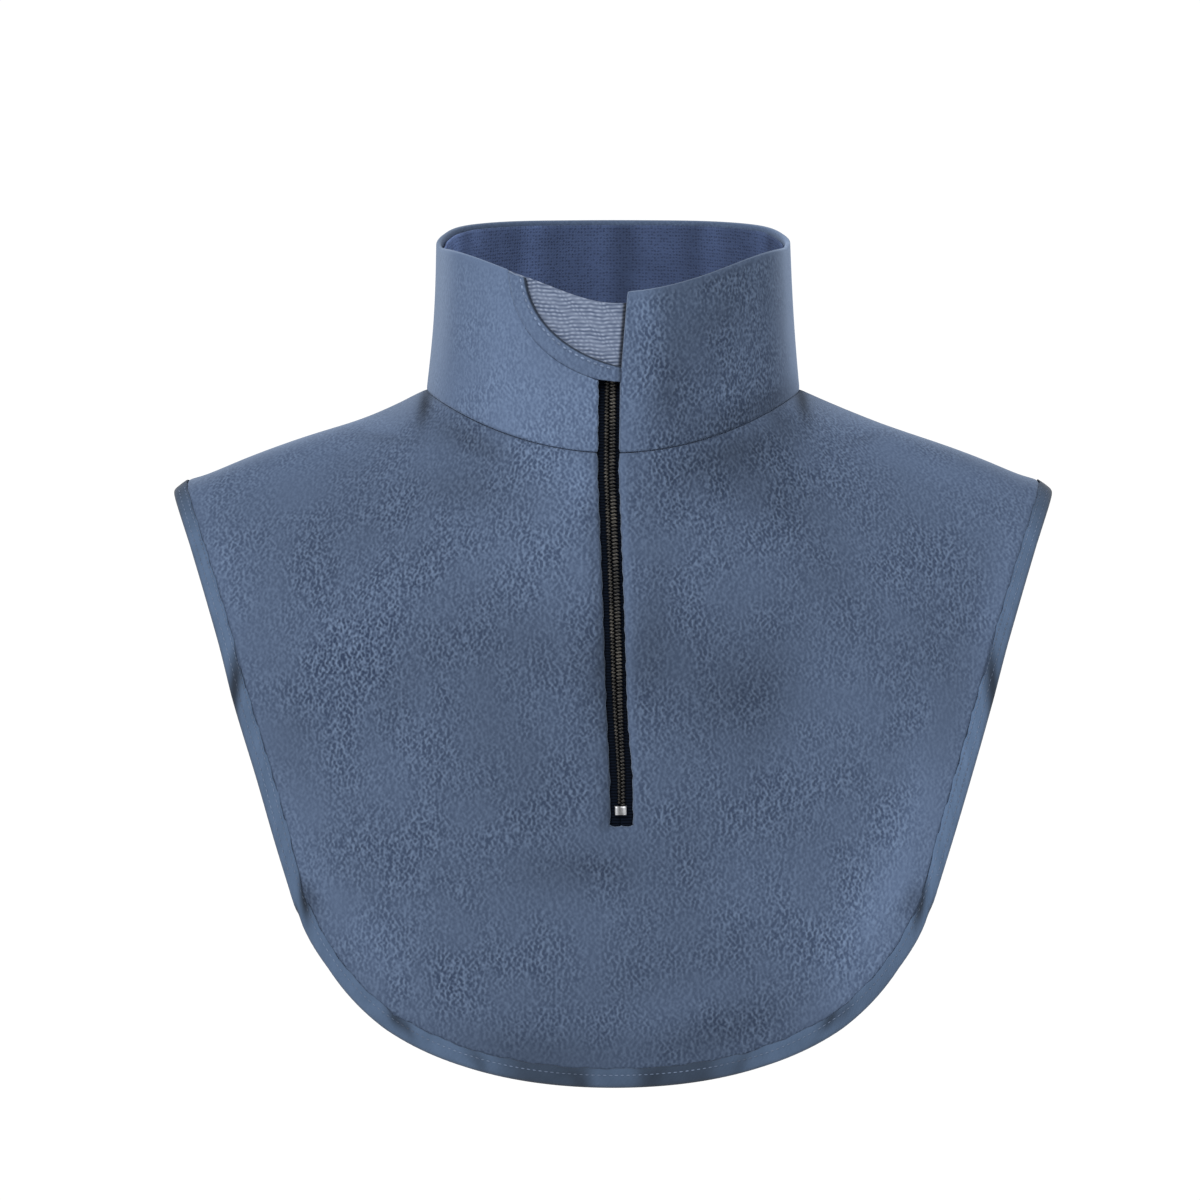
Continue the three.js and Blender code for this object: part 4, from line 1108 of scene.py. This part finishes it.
def stitch_bar(size):
    """One stitch as a small rounded bar: four rings of six points on an oval, between two tips.
    Gives its points, as distances along, aside and up, and its faces by their number of corners."""
    rings, sides = 4, 6
    steps = np.radians([-60, -22, 22, 60])[:, None]
    around = np.radians(np.arange(sides) * 60)
    half_width = np.cos(steps) * np.array([np.cos(around), np.sin(around)])[:, None] * size["width"] / 2
    along = np.sin(steps) * size["length"] / 2 + 0 * half_width[0]
    tips = [[-size["length"] / 2, 0, 0], [size["length"] / 2, 0, 0]]
    points = np.concatenate([np.stack([along, *half_width], -1).reshape(-1, 3), tips])
    s = np.arange(sides)
    after = (s + 1) % sides
    near, far, last = rings * sides + 0 * s, rings * sides + 1 + 0 * s, (rings - 1) * sides
    caps = np.concatenate([np.stack([near, after, s], -1), np.stack([far, last + s, last + after], -1)])
    return points, (ring_faces(rings, sides), caps)


def stitch_row(name, points, normals, shades, size):
    """A row of short stitches: one bar at each point, turned along the row and half sunk."""
    along = unit(np.gradient(points, axis=0))
    aside = unit(np.cross(normals, along))
    shape, kinds = stitch_bar(size)
    frames = np.stack([along, aside, unit(np.cross(along, aside))], 1)
    made = points[:, None] + np.einsum("vk,nkj->nvj", shape, frames)
    starts = np.arange(len(points))[:, None, None] * len(shape)
    faces = [face for kind in kinds for face in np.concatenate(kind + starts).tolist()]
    tones = {"tone": np.repeat(shades, len(shape))}
    add_piece(name, made.reshape(-1, 3), faces, THREAD, [], tones)


def binding_stitches(name, depth, start, half_edge, puckers, middle, way):
    """Stitches on a binding, a depth inside the hem's end, from a distance along the edge to the
    shoulders on both sides. They sink where the band is gathered."""
    arc = np.arange(start, half_edge[2] - ROWS_END, HEM_STITCH["pitch"])
    arc = np.concatenate([-arc[::-1], arc])
    turns = arc / (2 * half_edge[2]) * way + middle
    share = depth / binding_width(turns)
    gathered = gathering(arc, share, puckers, half_edge)
    run = short_of_edge(turns, depth + 0 * turns)
    lift = binding_height(share, gathered) + 0.05
    points = on_cloth(turns, run, lift)
    # Painted shade where the band is gathered, on an uneven tone
    seen = 0.88 + 0.14 * ripple(arc, (83, 1, 0), (37, 0.7, 2)) - 0.4 * np.clip(gathered, 0, 1)
    stitch_row(name, points, unit(on_cloth(turns, run, lift + 1) - points), seen, HEM_STITCH)


def flap_stitches():
    """The topstitch of the flap, along its cut edge."""
    share = np.arange(0.075, 0.96, FLAP_STITCH["pitch"] / FLAP_LENGTH)
    turn, run = flap_line(share, 0 * share + FLAP_SEWN)
    points = on_cloth(turn, run, FLEECE / 2 - 0.05)
    shades = 1.25 + 0.2 * ripple(share * FLAP_LENGTH, (23, 1, 0), (9, 0.6, 1))
    stitch_row("flap_stitches", points, unit(on_cloth(turn, run, 3) - points), shades, FLAP_STITCH)


def zip_tape(name, side):
    """One woven tape of the zip, flat behind the cloth."""
    z = np.linspace(TAPE_BOTTOM, ZIP_TOP, 150)[:, None]
    offset, z = grids(np.sort(side * np.linspace(TAPE_PARTING, TAPE_WIDTH, 9)), z)
    rolls = np.full(z.shape, BUTTED)
    rolls[:, 0 if side > 0 else -1] = TONGUE * side
    piece = cloth_piece(
        f"tape_{name}", on_zip(offset, z, TAPE_FACE), on_zip(offset, z, TAPE_FACE - TAPE),
        WOVEN_TAPE, "zip_tape", [f"zip_tape_{name}"], place=(offset, z), roll=rolls)


def coil_path(side):
    """The line of one coil: flat ovals along the tape, whose front halves lie level and which climbs
    behind them, half a turn apart on the two sides. Gives its points, the middles of its ovals, the
    heights, and the cosine of the angle, which is 1 at the zip's middle. The ovals get narrower
    towards the zip's lower end."""
    half_turn = COIL_PITCH / 2 if side < 0 else 0
    bottom = STOP["bottom"] + STOP["length"] + COIL_STRAND + COIL_STANDS_OFF + half_turn
    turns = int((COIL_TOP - bottom) / COIL_PITCH)
    angle = np.linspace(0, 2 * np.pi * turns, turns * COIL_STEPS + 1)
    winding, phase = np.divmod(angle / (2 * np.pi), 1)
    z = bottom + (winding + smoothstep(phase, 0.5, 1)) * COIL_PITCH
    narrow = lerp(0.6, 1, smoothstep(z, -190, -110))
    middle, half = COIL_OVALS[side]
    inwards = np.cos(angle)
    lift = TEETH_FOOT + COIL_STRAND + COIL_HALF_DEPTH + COIL_HALF_DEPTH * np.sin(angle)
    path = on_zip(side * (middle - half * inwards) * narrow, z, lift)
    return path, on_zip(side * middle * narrow, z, COIL_AXIS + 0 * z), z, inwards


def zip_coil(name, side):
    """One coil of the zip: a round strand along its line. The two coils mesh in a groove painted
    dark as shade, and each turn has a painted highlight on the front, brighter on some turns than on
    others, all painted darker towards the zip's lower end."""
    sides = 6
    path, centre, z, inwards = coil_path(side)
    along = unit(np.gradient(path, axis=0))
    out = unit(path - centre - along * np.sum((path - centre) * along, -1, keepdims=True))
    aside = np.cross(along, out)
    around = np.radians(np.arange(sides) * 60)[:, None]
    points = path[:, None] + COIL_STRAND * (out[:, None] * np.cos(around) + aside[:, None] * np.sin(around))
    # Painted highlight on the part of each turn that shows in front, painted glints along the zip, and
    # painted shade in the groove between the coils
    highlit_part = smoothstep(inwards, 1, 0.6) * smoothstep(inwards, -1, -0.5)
    painted_glints = np.clip(ripple(z, (61, 0.6, side), (23, 0.6, 2 * side), (9, 0.5, side)), -0.75, 1.6)
    tone = 0.12 + 0.5 * highlit_part * (1 + painted_glints) * smoothstep(z, -215, -120)
    last = (len(path) - 1) * sides
    ends = [list(range(sides))[::-1], list(range(last, last + sides))]
    faces = ring_faces(len(path), sides).tolist() + ends
    add_piece(
        f"coil_{name}", points.reshape(-1, 3), faces, COIL, [f"zip_teeth_{name}"],
        {"tone": np.repeat(tone, sides)})


def pressed_metal(name, node, half_widths, bottom, length, height, ridge):
    """A small pressed piece on the zip: a rounded pad whose width changes along it, with a ridge
    or a hollow along its middle. A hollow is painted darker along its middle, as painted shade."""
    along, across = np.meshgrid(np.linspace(-1, 1, 25), np.linspace(-1, 1, 25), indexing="ij")
    width = np.interp(along, np.linspace(-1, 1, len(half_widths)), half_widths)
    rounding = ((1 - np.abs(across) ** 6) * (1 - np.abs(along) ** 6)) ** 0.25
    top = TEETH_FOOT + PAD_EDGE + (height - PAD_EDGE) * rounding + ridge * bell(across, 0.45) * rounding
    z = bottom + (along + 1) / 2 * length
    outer, inner = (on_zip(across * width, z, lift) for lift in (top, 0 * top + TEETH_FOOT))
    # A hollow is painted dark along its middle, as painted shade
    tone = 1 - 0.62 * np.exp(-((across / 0.45) ** 4)) * (ridge < 0)
    cloth_piece(name, outer, inner, METAL, "zip_metal", [node], tone, roll=0.05)


def floor():
    """A plain pale round floor below the held garment, with a low rise towards its rim."""
    sides = 96
    around = np.linspace(0, 2 * np.pi, sides + 1)[:-1]
    radius = np.array([0.5, 1.0, 1.5, 1.7])[:, None]
    height = np.array([-0.9, -0.9, -0.9, -0.88])[:, None] + 0 * around
    rings = np.stack([radius * np.cos(around), radius * np.sin(around), height], -1).reshape(-1, 3)
    mesh = bpy.data.meshes.new("floor")
    mesh.from_pydata(rings.tolist(), [], ring_faces(4, sides)[:, ::-1].tolist() + [list(range(sides))])
    mesh.materials.append(new_material("pale_floor", Roughness=0.9, Base_Color=linear("f4f4f4"))[0])
    plane = bpy.data.objects.new("floor", mesh)
    bpy.context.scene.collection.objects.link(plane)


def area_light(name, place, power, size):
    """A soft square light that faces the garment's middle."""
    lamp = bpy.data.lights.new(name, "AREA")
    lamp.energy = power
    lamp.size = size
    lit = bpy.data.objects.new(name, lamp)
    bpy.context.scene.collection.objects.link(lit)
    lit.location = place
    direction = Vector((0, 0, -0.12)) - lit.location
    lit.rotation_euler = direction.to_track_quat("-Z", "Y").to_euler()


def camera():
    """The photograph's view: from the front, 5 degrees above level, 2.4 m away, 576 mm wide."""
    distance, elevation, wide = 2.4, math.radians(5), 0.576
    target = np.array([-0.00624, 0, -0.0984])
    lens = bpy.data.cameras.new("camera")
    lens.sensor_width = 36
    lens.lens = 36 * distance / wide
    eye = bpy.data.objects.new("camera", lens)
    bpy.context.scene.collection.objects.link(eye)
    eye.location = target + distance * np.array([0, -math.cos(elevation), math.sin(elevation)])
    eye.rotation_euler = (math.pi / 2 - elevation, 0, 0)
    bpy.context.scene.camera = eye


def studio():
    """A white wall of light behind the garment, paler grey all round, and one large soft light
    from the upper left in front."""
    world = bpy.data.worlds.new("studio")
    world.use_nodes = True
    tree = world.node_tree
    direction = add(tree, "TexCoord", output="Generated")
    backwards = add(tree, "SeparateXYZ", {"Vector": direction}, "Y")
    level = add(tree, "MapRange", {
        "Value": backwards, "From Min": 0.3, "From Max": 0.8, "To Min": 0.58, "To Max": 1.04,
    }, interpolation_type="SMOOTHSTEP")
    tree.links.new(level, tree.nodes["Background"].inputs["Strength"])
    tree.nodes["Background"].inputs["Color"].default_value = (1, 1, 1, 1)
    bpy.context.scene.world = world
    bpy.context.scene.view_settings.view_transform = "Standard"
    area_light("key_light", (-0.8, -2.0, 1.45), 30, 1.2)


camera()
studio()
floor()
collar_cloth()
flap_band()
chin_guard()
collar_lining()
front_bib()
back_bib()
for name, side in SIDES.items():
    binding(name, *side, BAND_COLUMNS[name])
for name, side in SIDES.items():
    for row, (depth, start) in HEM_ROWS.items():
        binding_stitches(f"{name}_stitches_{row}", depth, start, *side)
flap_stitches()
for make in (zip_tape, zip_coil):
    make("left", -1)
    make("right", 1)
pressed_metal("stop_clip", "zip_bottom_stop", **STOP)
pressed_metal("slider_body", "zip_slider", **SLIDER)
